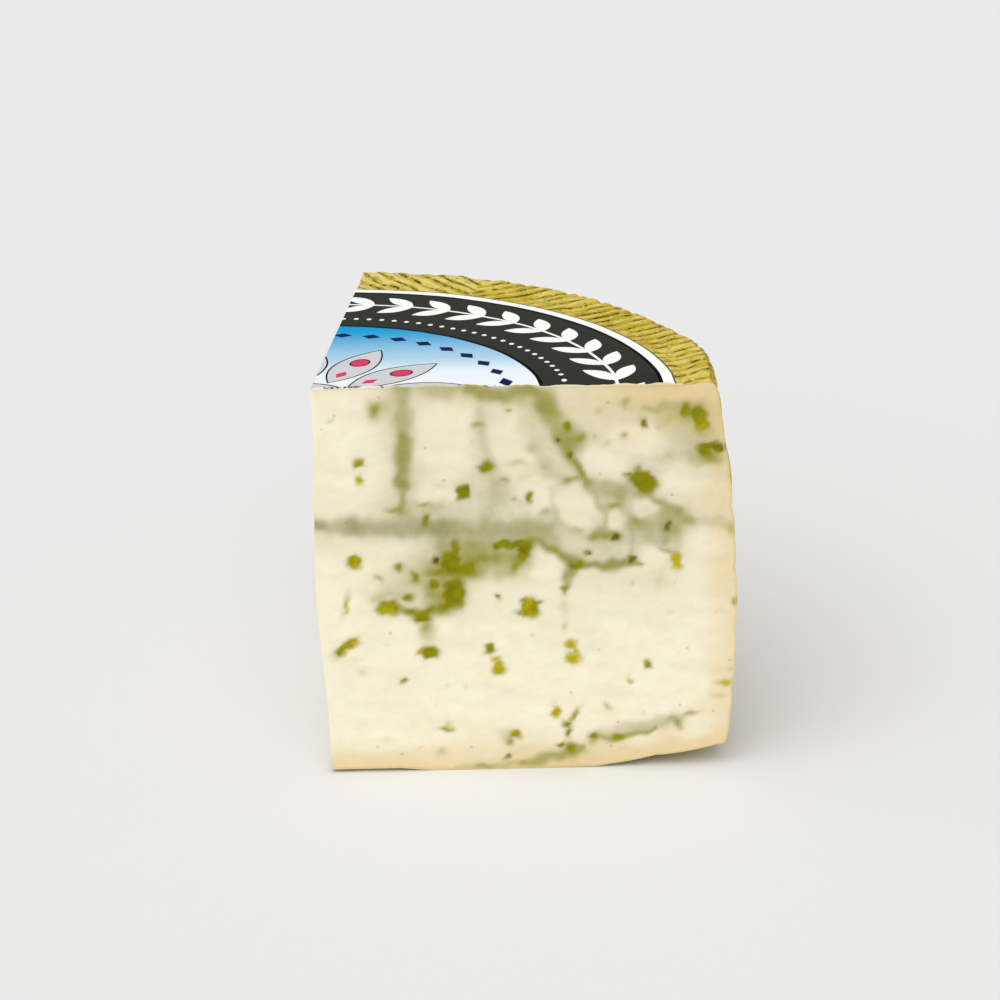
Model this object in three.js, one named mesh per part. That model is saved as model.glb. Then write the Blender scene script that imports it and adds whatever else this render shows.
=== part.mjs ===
// A quarter of a small wheel of semi-cured sheep cheese, cut down through the axis of the wheel,
// with the paper label that was cut together with it.
// Sizes are in millimetres and angles in degrees. The wheel stands on its base with +Z up.
// While it is shaped, the wheel's axis is the Z axis, the front cut lies in the plane y = 0 and
// the second cut CUT_ANGLE degrees round from it.
import * as THREE from "three";

// The wheel
const HEIGHT = 97.6;
const TOP_RADIUS = 91.6;
const FOOT_RADIUS = 94.6;
const BELLY = 3.5; // how far the side swells past a straight line from its foot to its top
const CUT_ANGLE = 85.3;
const FRONT_SWELL = 1.6; // the wheel isn't quite round: its upper rim stands out this much more
const FRONT_SWELL_ANGLE = 15; // at this angle from the front cut,
const FRONT_SWELL_REACH = 15; // and this many degrees to both sides it is round again

// Edges of the wheel
const TOP_EDGE_ROUND = 0.8;
const FOOT_EDGE_ROUND = 0.8;
const RIM_RISE = 0.8; // the top rises this much towards its rim
const RIM_WIDTH = 8;
const BASE_FLAT_RADIUS = 64;
const BASE_LIFT = 5; // the base rises this much from its flat middle to its rim
const BASE_LIFT_CURVE = 1.12; // above 1 the rise starts gently

// The tip, where the two cuts meet, isn't quite straight
const TIP_BOW = 1.4;
const TIP_BOW_HEIGHT = 49;
const TIP_BOW_REACH = 38;
const TIP_LEDGE = 0.9; // a small ledge in the tip, where the cut met a seam in the paste
const TIP_LEDGE_HEIGHT = 69;
const TIP_LEDGE_ABOVE = 9; // how far above it the tip is back to its bow
const TIP_LEDGE_BELOW = 2.2;

// The print that the woven mould leaves in the rind
const BANDS = 6; // plaited bands round the side
const BAND_SWELL = 0.7;
const BAND_SQUARENESS = 4; // a higher power gives bands with flatter backs and narrower joints
const LOBE_PITCH = 10.4;
const LOBE_DEPTH = 0.9;
const LOBE_SLANT = 1.35; // pitches that a lobe leans over the height of its band
const STRAND_PITCH = 10.2;
const STRAND_DEPTH = 0.35;
const STRAND_TURN = 64; // past this angle the strands of top and base run the other way
const STRAND_ANGLES = [15, -52];
const RIDGE_ROUND = 0.6; // a lower power gives broader ridges and narrower grooves
const PRINT_START = 0.4; // how far outside the label the strands start to show
const PRINT_FULL = 2.4;
const BASE_PRINT_SHARE = 0.3; // the share of the base's rise over which its strands come in

// The label, a disc of paper that isn't quite centred on the wheel
const LABEL_RADIUS = 85.4;
const LABEL_CENTRE = new THREE.Vector2(-1.9, -8.2);
const LABEL_THICKNESS = 0.2;
const LABEL_INSET = 0.15; // the paper stops this much short of the two cuts
const LABEL_STEPS = 40;

// How finely the cheese is divided
const STEPS_ROUND = 60;
const RADIAL_STOPS = [0.22, 0.42, 0.6, 0.7, 0.77, 0.83, 0.88, 0.915, 0.94, 0.96, 0.98, 1];
const EDGE_STOPS = [0, 0.6, 1.8];
const ROW_STEP = 2.5;

const radians = THREE.MathUtils.degToRad;
const clamp = THREE.MathUtils.clamp;
const lerp = THREE.MathUtils.lerp;
const smoothstep = THREE.MathUtils.smoothstep;

// How far a rounded edge has drawn in at this distance from it
function edgeRound(distance, radius) {
  const inside = clamp(radius - distance, 0, radius);
  return radius - Math.sqrt(radius * radius - inside * inside);
}

// Rounded ridges with narrow grooves between them, from 0 in a groove to 1 on a ridge
function ridges(phase) {
  return Math.pow(Math.abs(Math.sin(Math.PI * phase)), RIDGE_ROUND);
}

// The plaited bands on the side: how far the rind stands out at an angle and a height
function plait(angle, height) {
  const band = (height / HEIGHT) * BANDS;
  const index = clamp(Math.floor(band), 0, BANDS - 1);
  const across = band - index - 0.5;
  const lean = index % 2 ? 1 : -1;
  const envelope = 1 - Math.pow(2 * Math.abs(across), BAND_SQUARENESS);
  const lobe = ridges((angle * FOOT_RADIUS) / LOBE_PITCH + lean * across * LOBE_SLANT);
  return envelope * (BAND_SWELL + LOBE_DEPTH * (lobe - 1));
}

// The strands on top and base: 0 on a strand, down to -STRAND_DEPTH in a groove
function strands(x, y) {
  const turned = Math.atan2(y, x) > radians(STRAND_TURN);
  const along = radians(STRAND_ANGLES[turned ? 1 : 0]);
  const across = y * Math.cos(along) - x * Math.sin(along);
  return STRAND_DEPTH * (ridges(across / STRAND_PITCH) - 1);
}

// How far the wheel stands out past a circle at an angle and a share of its height
function frontSwell(angle, share) {
  const away = clamp(
    (angle - radians(FRONT_SWELL_ANGLE)) / radians(FRONT_SWELL_REACH), -1, 1);
  return FRONT_SWELL * share * Math.pow(Math.cos((away * Math.PI) / 2), 2);
}

// The radius of the side at an angle and a height
function sideRadius(angle, height) {
  const share = height / HEIGHT;
  const bulge = BELLY * (1 - Math.pow(2 * share - 1, 2)) + frontSwell(angle, share);
  const rounding =
    edgeRound(HEIGHT - height, TOP_EDGE_ROUND) + edgeRound(height, FOOT_EDGE_ROUND);
  return lerp(FOOT_RADIUS, TOP_RADIUS, share) + bulge - rounding + plait(angle, height);
}

// How far outside the label a point on the top lies
function pastLabel(x, y) {
  return Math.hypot(x - LABEL_CENTRE.x, y - LABEL_CENTRE.y) - LABEL_RADIUS;
}

// The height of the top at a point: flat under the label, with the print outside it
function topHeight(x, y) {
  const toRim = TOP_RADIUS - Math.hypot(x, y);
  const rise = RIM_RISE * (1 - smoothstep(toRim, 0, RIM_WIDTH));
  const printed = smoothstep(pastLabel(x, y), PRINT_START, PRINT_FULL);
  return HEIGHT + printed * (strands(x, y) + rise);
}

// The height of the base at a point: flat in the middle, rising to the rim
function baseHeight(x, y) {
  const out = clamp(
    (Math.hypot(x, y) - BASE_FLAT_RADIUS) / (FOOT_RADIUS - BASE_FLAT_RADIUS), 0, 1);
  const printed = smoothstep(out, 0, BASE_PRINT_SHARE);
  return BASE_LIFT * Math.pow(out, BASE_LIFT_CURVE) - printed * strands(x, y);
}

// How far the tip stands out past the axis at a height
function tipBow(height) {
  const share = clamp((height - TIP_BOW_HEIGHT) / TIP_BOW_REACH, -1, 1);
  const above = height - TIP_LEDGE_HEIGHT;
  const ledge =
    TIP_LEDGE * smoothstep(above, -TIP_LEDGE_BELOW, 0) * (1 - smoothstep(above, 0, TIP_LEDGE_ABOVE));
  return TIP_BOW * Math.pow(Math.cos((share * Math.PI) / 2), 2) + ledge;
}

// The shares of the height at which the rows of the side lie, closer together at both edges
function rowShares() {
  const first = EDGE_STOPS.at(-1);
  const inner = HEIGHT - 2 * first;
  const count = Math.round(inner / ROW_STEP);
  const middle = Array.from({ length: count - 1 }, (_, n) => first + (inner * (n + 1)) / count);
  const upper = EDGE_STOPS.map((stop) => HEIGHT - stop).reverse();
  return [...EDGE_STOPS, ...middle, ...upper].map((row) => row / HEIGHT);
}

// A point of the cheese from its share of the radius, its angle and its share of the height
function cheesePoint(radial, angle, share) {
  const direction = new THREE.Vector2(Math.cos(angle), Math.sin(angle));
  const flat = direction.clone().multiplyScalar(radial * TOP_RADIUS);
  const foot = baseHeight(radial * FOOT_RADIUS * direction.x, radial * FOOT_RADIUS * direction.y);
  const height = lerp(foot, topHeight(flat.x, flat.y), share);
  const radius = radial * sideRadius(angle, share * HEIGHT);
  const bow = tipBow(height) * (1 - radial);
  return new THREE.Vector3(radius * direction.x - bow, radius * direction.y, height);
}

// The skin of the cheese as one indexed mesh: side, top, base and the two cuts, whose shared
// edges share their points
function cheeseGeometry() {
  const rows = rowShares();
  const radials = [0, ...RADIAL_STOPS];
  const lastRow = rows.length - 1;
  const lastRadial = radials.length - 1;
  const positions = [];
  const indices = [];
  const known = new Map();

  // The index of a grid point, which is made when it is first asked for
  function at(i, k, j) {
    const round = i === 0 ? 0 : k; // every angle meets in the tip
    const key = `${i},${round},${j}`;
    if (!known.has(key)) {
      const angle = radians((CUT_ANGLE * round) / STEPS_ROUND);
      known.set(key, positions.length / 3);
      positions.push(...cheesePoint(radials[i], angle, rows[j]).toArray());
    }
    return known.get(key);
  }

  // How far apart two points are
  function gap(a, b) {
    const from = new THREE.Vector3().fromArray(positions, 3 * a);
    return from.distanceTo(new THREE.Vector3().fromArray(positions, 3 * b));
  }

  // Two triangles for four corners given anticlockwise from outside, split along the shorter
  // diagonal, which follows a ridge. Where two corners are one point, only one triangle is left.
  function quad(a, b, c, d) {
    const split = gap(a, c) <= gap(b, d) ? [[a, b, c], [a, c, d]] : [[a, b, d], [b, c, d]];
    for (const [p, q, r] of split) {
      if (p !== q && q !== r && r !== p) indices.push(p, q, r);
    }
  }

  for (let k = 0; k < STEPS_ROUND; k++) {
    for (let j = 0; j < lastRow; j++) {
      quad(at(lastRadial, k, j), at(lastRadial, k + 1, j),
        at(lastRadial, k + 1, j + 1), at(lastRadial, k, j + 1));
    }
    for (let i = 0; i < lastRadial; i++) {
      quad(at(i, k, lastRow), at(i + 1, k, lastRow), at(i + 1, k + 1, lastRow), at(i, k + 1, lastRow));
      quad(at(i, k, 0), at(i, k + 1, 0), at(i + 1, k + 1, 0), at(i + 1, k, 0));
    }
  }
  for (let i = 0; i < lastRadial; i++) {
    for (let j = 0; j < lastRow; j++) {
      quad(at(i, 0, j), at(i + 1, 0, j), at(i + 1, 0, j + 1), at(i, 0, j + 1));
      quad(at(i, STEPS_ROUND, j), at(i, STEPS_ROUND, j + 1),
        at(i + 1, STEPS_ROUND, j + 1), at(i + 1, STEPS_ROUND, j));
    }
  }

  const geometry = new THREE.BufferGeometry();
  geometry.setAttribute("position", new THREE.Float32BufferAttribute(positions, 3));
  geometry.setIndex(indices);
  geometry.computeVertexNormals();
  return geometry;
}

// Where the label's edge crosses the line that leaves the corner at this angle
function labelEdge(corner, angle) {
  const direction = new THREE.Vector2(Math.cos(angle), Math.sin(angle));
  const from = corner.clone().sub(LABEL_CENTRE);
  const along = from.dot(direction);
  const reach = Math.sqrt(along * along - from.lengthSq() + LABEL_RADIUS * LABEL_RADIUS) - along;
  return corner.clone().addScaledVector(direction, reach);
}

// The label as cut: its corner just inside the tip, its two straight sides along the cuts and
// its round edge
function labelGeometry() {
  const cut = radians(CUT_ANGLE);
  const corner = new THREE.Vector2(LABEL_INSET / Math.tan(cut / 2), LABEL_INSET);
  const outline = new THREE.Shape();
  outline.moveTo(corner.x, corner.y);
  for (let n = 0; n <= LABEL_STEPS; n++) {
    const point = labelEdge(corner, (cut * n) / LABEL_STEPS);
    outline.lineTo(point.x, point.y);
  }
  outline.closePath();
  return new THREE.ExtrudeGeometry(outline, { depth: LABEL_THICKNESS, bevelEnabled: false });
}

const cheese = new THREE.Mesh(
  cheeseGeometry(),
  new THREE.MeshStandardMaterial({ color: 0xf3e9c6, roughness: 0.55, metalness: 0 }),
);
cheese.name = "cheese";

const label = new THREE.Mesh(
  labelGeometry(),
  new THREE.MeshStandardMaterial({ color: 0x3a3b37, roughness: 0.45, metalness: 0 }),
);
label.name = "label";
label.position.z = HEIGHT;

const wedge = new THREE.Group();
wedge.add(cheese, label);

// The origin of the finished part is the middle of its bounding box, on the base
const box = new THREE.Box3().setFromObject(wedge);
const middle = box.getCenter(new THREE.Vector3());
wedge.position.set(-middle.x, -middle.y, 0);

export default wedge;
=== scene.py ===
"""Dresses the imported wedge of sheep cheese: ivory paste with herbs, woven rind, paper label."""

import math

import bmesh
import bpy
import numpy as np
from bpy.props import FloatProperty, FloatVectorProperty, IntProperty, PointerProperty
from bpy.types import Operator, Panel, PropertyGroup
from mathutils import Matrix, Vector


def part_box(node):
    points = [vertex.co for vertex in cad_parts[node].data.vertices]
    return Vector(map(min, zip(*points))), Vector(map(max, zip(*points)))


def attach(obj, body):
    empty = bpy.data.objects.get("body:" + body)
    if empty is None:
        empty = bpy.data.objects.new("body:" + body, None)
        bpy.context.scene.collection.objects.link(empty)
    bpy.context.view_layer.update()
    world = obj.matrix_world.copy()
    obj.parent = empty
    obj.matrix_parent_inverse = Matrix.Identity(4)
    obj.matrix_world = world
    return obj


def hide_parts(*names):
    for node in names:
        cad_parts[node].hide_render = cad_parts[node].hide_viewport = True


bl_info = {
    "name": "Sheep Cheese Wedge",
    "version": (1, 0, 0),
    "blender": (4, 5, 0),
    "location": "View3D > Sidebar > Cheese",
    "description": "Builds a wedge of herb cheese with its woven rind and its label",
    "category": "Add Mesh",
}

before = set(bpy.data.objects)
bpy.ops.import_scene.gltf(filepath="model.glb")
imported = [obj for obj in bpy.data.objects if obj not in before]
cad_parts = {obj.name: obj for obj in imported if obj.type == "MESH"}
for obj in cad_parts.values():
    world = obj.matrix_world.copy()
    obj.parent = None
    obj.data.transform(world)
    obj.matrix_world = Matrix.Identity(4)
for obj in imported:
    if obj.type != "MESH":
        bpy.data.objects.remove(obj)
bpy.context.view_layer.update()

MM = 0.001
TAU = 2 * math.pi
BODY = "root"

cheese_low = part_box("cheese")[0]
label_low, label_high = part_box("label")
TOP_TOLERANCE = 0.01 * MM  # a point this little under the label still counts as its underside


def wheel_axis():
    """Where the wheel's axis stands: at the upper end of the tip, which no bow moves."""
    top = label_low.z - TOP_TOLERANCE
    points = [vertex.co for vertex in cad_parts["cheese"].data.vertices]
    return Vector((min(point.x for point in points if point.z > top), cheese_low.y, 0))


AXIS = wheel_axis()


# Properties


def length(name, description, millimetres):
    """A length that is stated in millimetres and kept in metres."""
    return FloatProperty(
        name=name, description=description, default=millimetres * MM, unit="LENGTH", precision=5)


def ratio(name, description, default):
    """A plain number."""
    return FloatProperty(name=name, description=description, default=default)


def angle(name, description, degrees):
    """An angle that is stated in degrees and kept in radians."""
    return FloatProperty(
        name=name, description=description, default=math.radians(degrees), subtype="ANGLE")


def linear(red, green, blue):
    """A colour of 0 to 255 as seen on a screen, as the linear colour that a shader takes."""
    shares = [channel / 255 for channel in (red, green, blue)]
    return tuple(
        share / 12.92 if share <= 0.04045 else ((share + 0.055) / 1.055) ** 2.4
        for share in shares)


def colour(name, description, red, green, blue):
    """A colour that is stated as it should look on the object."""
    return FloatVectorProperty(
        name=name, description=description, default=linear(red, green, blue), subtype="COLOR",
        min=0, max=1)


class WheelSizes(PropertyGroup):
    """The wheel that the wedge is cut from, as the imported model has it."""

    height: length("Height", "From the base to the top", (label_low.z - cheese_low.z) / MM)
    top_radius: length("Top radius", "The wheel's radius at its top edge", 91.6)
    foot_radius: length("Foot radius", "The wheel's radius at its lower edge", 94.6)
    belly: length("Belly", "How far the side swells past a straight line", 3.5)
    cut_angle: angle("Cut angle", "The angle between the two cuts", 85.3)
    front_swell: length("Front swell", "How far the upper rim stands out past a circle", 1.6)
    front_swell_angle: angle("Swell angle", "The angle from the front cut where it does", 15)
    front_swell_reach: angle("Swell reach", "How far to both sides of that", 15)
    edge_round: length("Edge radius", "The rounding of the upper and lower edges", 0.8)
    rim_rise: length("Rim rise", "How much the top rises towards its rim", 0.8)
    rim_width: length("Rim width", "How far from the rim the top starts to rise", 8)
    base_flat: length("Flat base", "The radius of the flat middle of the base", 64)
    base_lift: length("Base lift", "How much the base rises from its middle to its rim", 5)
    base_curve: ratio("Base curve", "Above 1 the base's rise starts gently", 1.12)
    tip_bow: length("Tip bow", "How far the tip stands out past the axis", 1.4)
    tip_bow_height: length("Bow height", "The height at which the tip stands out most", 49)
    tip_bow_reach: length("Bow reach", "How far above and below that the bow ends", 38)
    base_ease: length("Base ease", "How much the base leaves the table before that rise", 0.2)
    base_ease_reach: length("Base ease reach", "How far before the rise that starts", 12)
    foot_lift: length("Foot lift", "How much the base is clear of the table under the tip", 0.8)
    foot_lift_reach: length("Foot lift reach", "How far from the tip that ends", 26)
    knife_sag: length("Knife sag", "How far the knife dragged the top down at the front cut", 0.8)
    knife_sag_reach: length("Knife sag reach", "How far from the front cut the top sags", 6)
    tip_flare: length("Tip flare", "How far the tip stands out at its upper end", 0.2)
    tip_ledge: length("Tip ledge", "A small ledge in the tip above the level vein", 0.9)
    tip_ledge_height: length("Ledge height", "The height of that ledge", 69)


class PrintSizes(PropertyGroup):
    """The print that the woven mould leaves in the rind."""

    bands: IntProperty(name="Bands", description="Plaited bands round the side", default=6)
    band_swell: length("Band swell", "How far the back of a band stands out", 0.7)
    lobe_pitch: length("Lobe pitch", "From one lobe of a plait to the next", 10.4)
    lobe_depth: length("Lobe depth", "The depth between two lobes", 0.9)
    lobe_slant: ratio("Lobe slant", "Pitches that a lobe leans over its band's height", 1.35)
    strand_pitch: length("Strand pitch", "From one bundle of strands on top to the next", 10.2)
    strand_depth: length("Strand depth", "The depth between two bundles", 0.35)
    strand_turn: angle("Strand turn", "Past this angle the strands run the other way", 64)
    first_lay: angle("First lay", "The way that the strands run at the front", 15)
    second_lay: angle("Second lay", "The way that the strands run at the back", -52)
    straws: IntProperty(name="Straws", description="Straws in each lobe or bundle", default=3)
    straw_depth: length("Straw depth", "The depth between two straws", 0.42)


class PasteColours(PropertyGroup):
    """The colours of the cut paste, its veins and its herbs."""

    ivory: colour("Ivory", "The clean paste", 254, 247, 222)
    cream: colour("Cream", "The paste where it is a little darker", 250, 240, 212)
    haze: colour("Haze", "Paste clouded by the herbs' juice", 190, 187, 148)
    beige: colour("Beige", "Paste under the rind", 236, 212, 161)
    crust: colour("Crust", "The thin dry line where the rind is cut", 206, 184, 126)
    juice: colour("Juice", "Paste stained by a herb piece under it", 154, 151, 50)
    vein_green: colour("Green vein", "Herb seams", 162, 159, 80)
    vein_grey: colour("Grey vein", "Seams with little herb in them", 163, 160, 118)
    vein_dark: colour("Dark vein", "Seams packed with herb", 118, 116, 30)
    herb_light: colour("Light herb", "Yellowish herb pieces", 197, 183, 16)
    herb: colour("Herb", "Herb pieces", 142, 139, 0)
    herb_dark: colour("Dark herb", "Dark herb pieces", 84, 88, 4)


class RindColours(PropertyGroup):
    """The colours of the rind."""

    land: colour("Land", "The backs of the straws", 210, 188, 72)
    # This pale colour stands for worn and dry places, and it is also the painted highlight on the straws'
    # backs and in small glints.
    land_pale_and_highlight: colour("Pale land", "Worn and dry places", 225, 207, 124)
    land_deep: colour("Deep land", "Stained places", 190, 166, 42)
    groove: colour("Groove", "Between two straws", 126, 108, 0)
    groove_deep: colour("Deep groove", "The darkest pits", 80, 62, 0)
    shred: colour("Shred", "Dried shreds on the cut's upper edge", 92, 62, 34)
    shred_pale: colour("Pale shred", "Their lighter places", 158, 122, 78)


class LabelSizes(PropertyGroup):
    """The paper label and the rings printed on it."""

    radius: length("Radius", "The radius of the whole label", 85.4)
    centre_x: length("Centre X", "The label's centre, from the wheel's axis along the front cut", -1.9)
    centre_y: length("Centre Y", "The label's centre, from the wheel's axis into the wedge", -8.2)
    inset: length("Inset", "How far the paper stops short of the cuts", 0.15)
    cockle: length("Cockle", "How far the paper lifts and sinks", 0.07)
    border: length("Border", "Where the white border ends and the dark ring starts", 82.6)
    keyline: length("Keyline", "The width of the black lines along the dark ring", 0.9)
    disc: length("Disc", "The radius of the blue disc in the middle", 54.6)
    hairline: length("Hairline", "The width of the thin line round the label", 0.4)
    wreath: length("Wreath", "The radius of the wreath's stem", 72.2)
    wreath_leaves: IntProperty(name="Leaves", description="Pairs of leaves in a full wreath", default=46)
    beads: length("Beads", "The radius of the ring of small dots", 60.6)
    bead_count: IntProperty(name="Bead count", description="Dots in a full ring", default=118)
    petals: IntProperty(name="Petals", description="Petals of the full rosette", default=14)
    rosette: length("Rosette", "The radius at which the petals are widest", 26)
    chain: length("Chain", "The radius of the ring of small lozenges", 47.5)
    chain_count: IntProperty(name="Lozenges", description="Lozenges in a full ring", default=42)


class LabelColours(PropertyGroup):
    """The inks of the label, and the thin dark line round its edge."""

    white: colour("White", "Bare paper", 255, 255, 252)
    edge: colour("Hairline", "The thin line round the label", 96, 94, 72)
    black: colour("Black", "Keylines and outlines", 8, 9, 7)
    charcoal: colour("Charcoal", "The dark ring", 50, 52, 46)
    sky: colour("Sky", "The disc at the back", 14, 160, 216)
    pale: colour("Pale", "The disc half way", 176, 214, 236)
    mist: colour("Mist", "The disc at the front", 241, 248, 253)
    petal: colour("Petal", "The rosette's petals", 212, 212, 216)
    crimson: colour("Crimson", "The rosette's dots", 222, 62, 100)
    navy: colour("Navy", "The ring of lozenges", 18, 34, 84)


class StageSettings(PropertyGroup):
    """The floor, the light and the camera."""

    turn: angle("Turn", "The camera's turn round the object, from straight in front", 0.716)
    rise: angle("Rise", "The camera's height above the horizon", 21.676)
    roll: angle("Roll", "How far the camera leans", -1.559)
    distance: length("Distance", "From the camera to the point it looks at", 591.6)
    look_along: length("Look along", "That point, from the tip along the front cut", 42.3)
    look_height: length("Look height", "That point's height above the floor", 69.7)
    lens: ratio("Lens", "The focal length in millimetres on a 36 mm sensor", 92.26)
    floor_colour: colour("Floor", "The floor", 235, 235, 235)
    world_light: ratio("World", "The strength of the light from all round", 0.6)
    key_light: ratio("Key", "The strength of the soft light from the front", 1.5)
    key_rise: angle("Key rise", "The height of that light above the horizon", 56)
    key_turn: angle("Key turn", "How far round to the left that light stands", 24)
    key_soft: angle("Key softness", "How wide that light is", 70)


# Numbers that vary smoothly


def smooth(value, low, high):
    """0 up to low and 1 from high on, or the other way round where high is the lower."""
    share = np.clip((value - low) / (high - low), 0, 1)
    return share * share * (3 - 2 * share)


def ripple(points, wavelength, seed, waves=9):
    """Smooth noise of about -1 to 1 over points with any number of coordinates."""
    draw = np.random.default_rng(seed)
    total = np.zeros(points.shape[:-1])
    for _ in range(waves):
        direction = draw.normal(size=points.shape[-1])
        direction *= TAU / (wavelength * draw.uniform(0.6, 1.7) * np.linalg.norm(direction))
        total += np.sin(points @ direction + draw.uniform(0, TAU))
    return total / math.sqrt(waves)


# The form of the cheese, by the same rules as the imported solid

RIDGE_ROUND = 0.6  # a lower power gives broader ridges and narrower grooves
BAND_SQUARENESS = 4  # a higher power gives bands with flatter backs and narrower joints
LOBE_MEAN = 0.76  # the mean height of the ridges, to which the knife smooths them at the cuts
CUT_PRINT = 0.2  # the share of the side's print that the knife leaves at the cuts
CUT_PRINT_START = 0.3 * MM  # from this far off the cuts the print grows
CUT_PRINT_FULL = 4 * MM
PRINT_START = 0.4 * MM  # how far outside the label the strands start to show
PRINT_FULL = 2.4 * MM
BASE_PRINT_SHARE = 0.3  # the share of the base's rise over which its strands come in
UNDER_LABEL = 0.04 * MM  # the top lies this much under the paper, so that the two don't fight
JOINT_STRAWS = 0.25  # the share of the straws' depth that is left in the joints of the bands
STRAW_WANDER = 0.16  # how far a straw strays sideways, in straws
STRAW_WANDER_LENGTH = 1.7  # over this many lobes
STRAW_UNEVEN = 0.35  # how uneven the straws' height is
STRAW_UNEVEN_LENGTH = 1.1
STRAW_STRETCH = (3, 0.7)  # that height varies faster across the straws than along them
TURN_BLEND = 0.02  # half the angle over which the strands change their way
LEDGE_START = -2.2 * MM  # the tip's ledge starts this far from its height,
LEDGE_FULL = -0.4 * MM  # is full here
LEDGE_END = 9 * MM  # and has faded out here
FLARE_START = 9 * MM  # how far below the top the tip's flare starts
FLARE_FULL = 1 * MM
SAG_START, SAG_FULL = 0.2, 0.7  # the sag grows between these shares of the top radius
FOOT_LIFT_FULL = 0.6  # up to this share of its reach the foot lift is full
SIDE_SEED, TOP_SEED, BASE_SEED = 21, 31, 41


def ridges(phase):
    """Rounded ridges with narrow grooves between them, from 0 in a groove to 1 on a ridge."""
    return np.abs(np.sin(math.pi * phase)) ** RIDGE_ROUND


def edge_round(distance, radius):
    """How far a rounded edge has drawn in at this distance from it."""
    inside = np.clip(radius - distance, 0, radius)
    return radius - np.sqrt(radius * radius - inside * inside)


class Form:
    """Works out points of the wedge in metres, with the wheel's axis as the Z axis."""

    def __init__(self, wheel, prints, label):
        self.wheel = wheel
        self.prints = prints
        self.label = label

    def side_fibre(self, turn, height):
        """Where a point of the side lies in its plait: lobes along and across, and the band."""
        wheel, prints = self.wheel, self.prints
        band = height / wheel.height * prints.bands
        index = np.clip(np.floor(band), 0, prints.bands - 1)
        across = band - index - 0.5
        lean = np.where(index % 2, 1, -1)
        lobes = turn * wheel.foot_radius / prints.lobe_pitch + lean * across * prints.lobe_slant
        return lobes, across

    def flat_fibre(self, x, y, lay):
        """Where a point of the top or base lies across the strands, in bundles, and along them."""
        across = y * math.cos(lay) - x * math.sin(lay)
        along = x * math.cos(lay) + y * math.sin(lay)
        return across / self.prints.strand_pitch, along

    def turned(self, x, y):
        """1 where the strands of top and base run the second way, with a narrow change."""
        turn = np.arctan2(y, x)
        change = self.prints.strand_turn
        return smooth(turn, change - TURN_BLEND, change + TURN_BLEND)

    def straw(self, lobes, along, seed):
        """The relief of single straws: 0 on most of their backs, below 0 between them."""
        place = np.stack([lobes, along / self.prints.lobe_pitch], axis=-1)
        wander = STRAW_WANDER * ripple(place, STRAW_WANDER_LENGTH, seed)
        uneven = STRAW_UNEVEN * ripple(place * STRAW_STRETCH, STRAW_UNEVEN_LENGTH, seed + 1)
        height = ridges(lobes * self.prints.straws + wander) - 1 + uneven
        return self.prints.straw_depth * height

    def side_radius(self, turn, height):
        """The side's radius at an angle and a height."""
        wheel, prints = self.wheel, self.prints
        share = height / wheel.height
        lobes, across = self.side_fibre(turn, height)
        envelope = 1 - np.abs(2 * across) ** BAND_SQUARENESS
        from_cut = np.minimum(turn, wheel.cut_angle - turn) * wheel.foot_radius
        shown = CUT_PRINT + (1 - CUT_PRINT) * smooth(from_cut, CUT_PRINT_START, CUT_PRINT_FULL)
        lobe = LOBE_MEAN + (ridges(lobes) - LOBE_MEAN) * shown
        plait = envelope * (prints.band_swell + prints.lobe_depth * (lobe - 1))
        straws = JOINT_STRAWS + (1 - JOINT_STRAWS) * envelope
        plait += shown * straws * self.straw(lobes, height, SIDE_SEED)
        rounding = edge_round(wheel.height - height, wheel.edge_round)
        rounding = rounding + edge_round(height, wheel.edge_round)
        away = np.clip((turn - wheel.front_swell_angle) / wheel.front_swell_reach, -1, 1)
        swell = wheel.front_swell * share * np.cos(away * math.pi / 2) ** 2
        bulge = swell + wheel.belly * (1 - (2 * share - 1) ** 2)
        straight = wheel.foot_radius + (wheel.top_radius - wheel.foot_radius) * share
        return straight + bulge - rounding + plait

    def flat_relief(self, x, y, seed):
        """The strands on top and base: 0 on a strand, below 0 between two."""
        turned = self.turned(x, y)
        relief = 0
        for lay, share in ((self.prints.first_lay, 1 - turned), (self.prints.second_lay, turned)):
            bundles, along = self.flat_fibre(x, y, lay)
            bundle = self.prints.strand_depth * (ridges(bundles) - 1)
            relief = relief + share * (bundle + self.straw(bundles, along, seed))
        return relief

    def past_label(self, x, y):
        """How far outside the label a point lies."""
        return np.hypot(x - self.label.centre_x, y - self.label.centre_y) - self.label.radius

    def sag(self, x, y):
        """How far the knife dragged the top down near the front cut."""
        wheel = self.wheel
        outer = smooth(x, SAG_START * wheel.top_radius, SAG_FULL * wheel.top_radius)
        return wheel.knife_sag * outer * smooth(y, wheel.knife_sag_reach, 0)

    def top_height(self, x, y):
        """The top: flat under the label, with the print outside it."""
        wheel = self.wheel
        rise = wheel.rim_rise * smooth(wheel.top_radius - np.hypot(x, y), wheel.rim_width, 0)
        printed = smooth(self.past_label(x, y), PRINT_START, PRINT_FULL)
        relief = printed * (self.flat_relief(x, y, TOP_SEED) + rise)
        return wheel.height + relief - UNDER_LABEL - self.sag(x, y)

    def base_height(self, x, y):
        """The base: flat in the middle, rising to the rim."""
        wheel = self.wheel
        from_axis = np.hypot(x, y)
        out = np.clip((from_axis - wheel.base_flat) / (wheel.foot_radius - wheel.base_flat), 0, 1)
        printed = smooth(out, 0, BASE_PRINT_SHARE)
        reach = wheel.foot_lift_reach
        lift = wheel.foot_lift * smooth(from_axis, reach, FOOT_LIFT_FULL * reach)
        lift += wheel.base_ease * smooth(wheel.base_flat - from_axis, wheel.base_ease_reach, 0)
        lift += wheel.base_lift * out ** wheel.base_curve
        return lift - printed * self.flat_relief(x, y, BASE_SEED)

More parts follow.
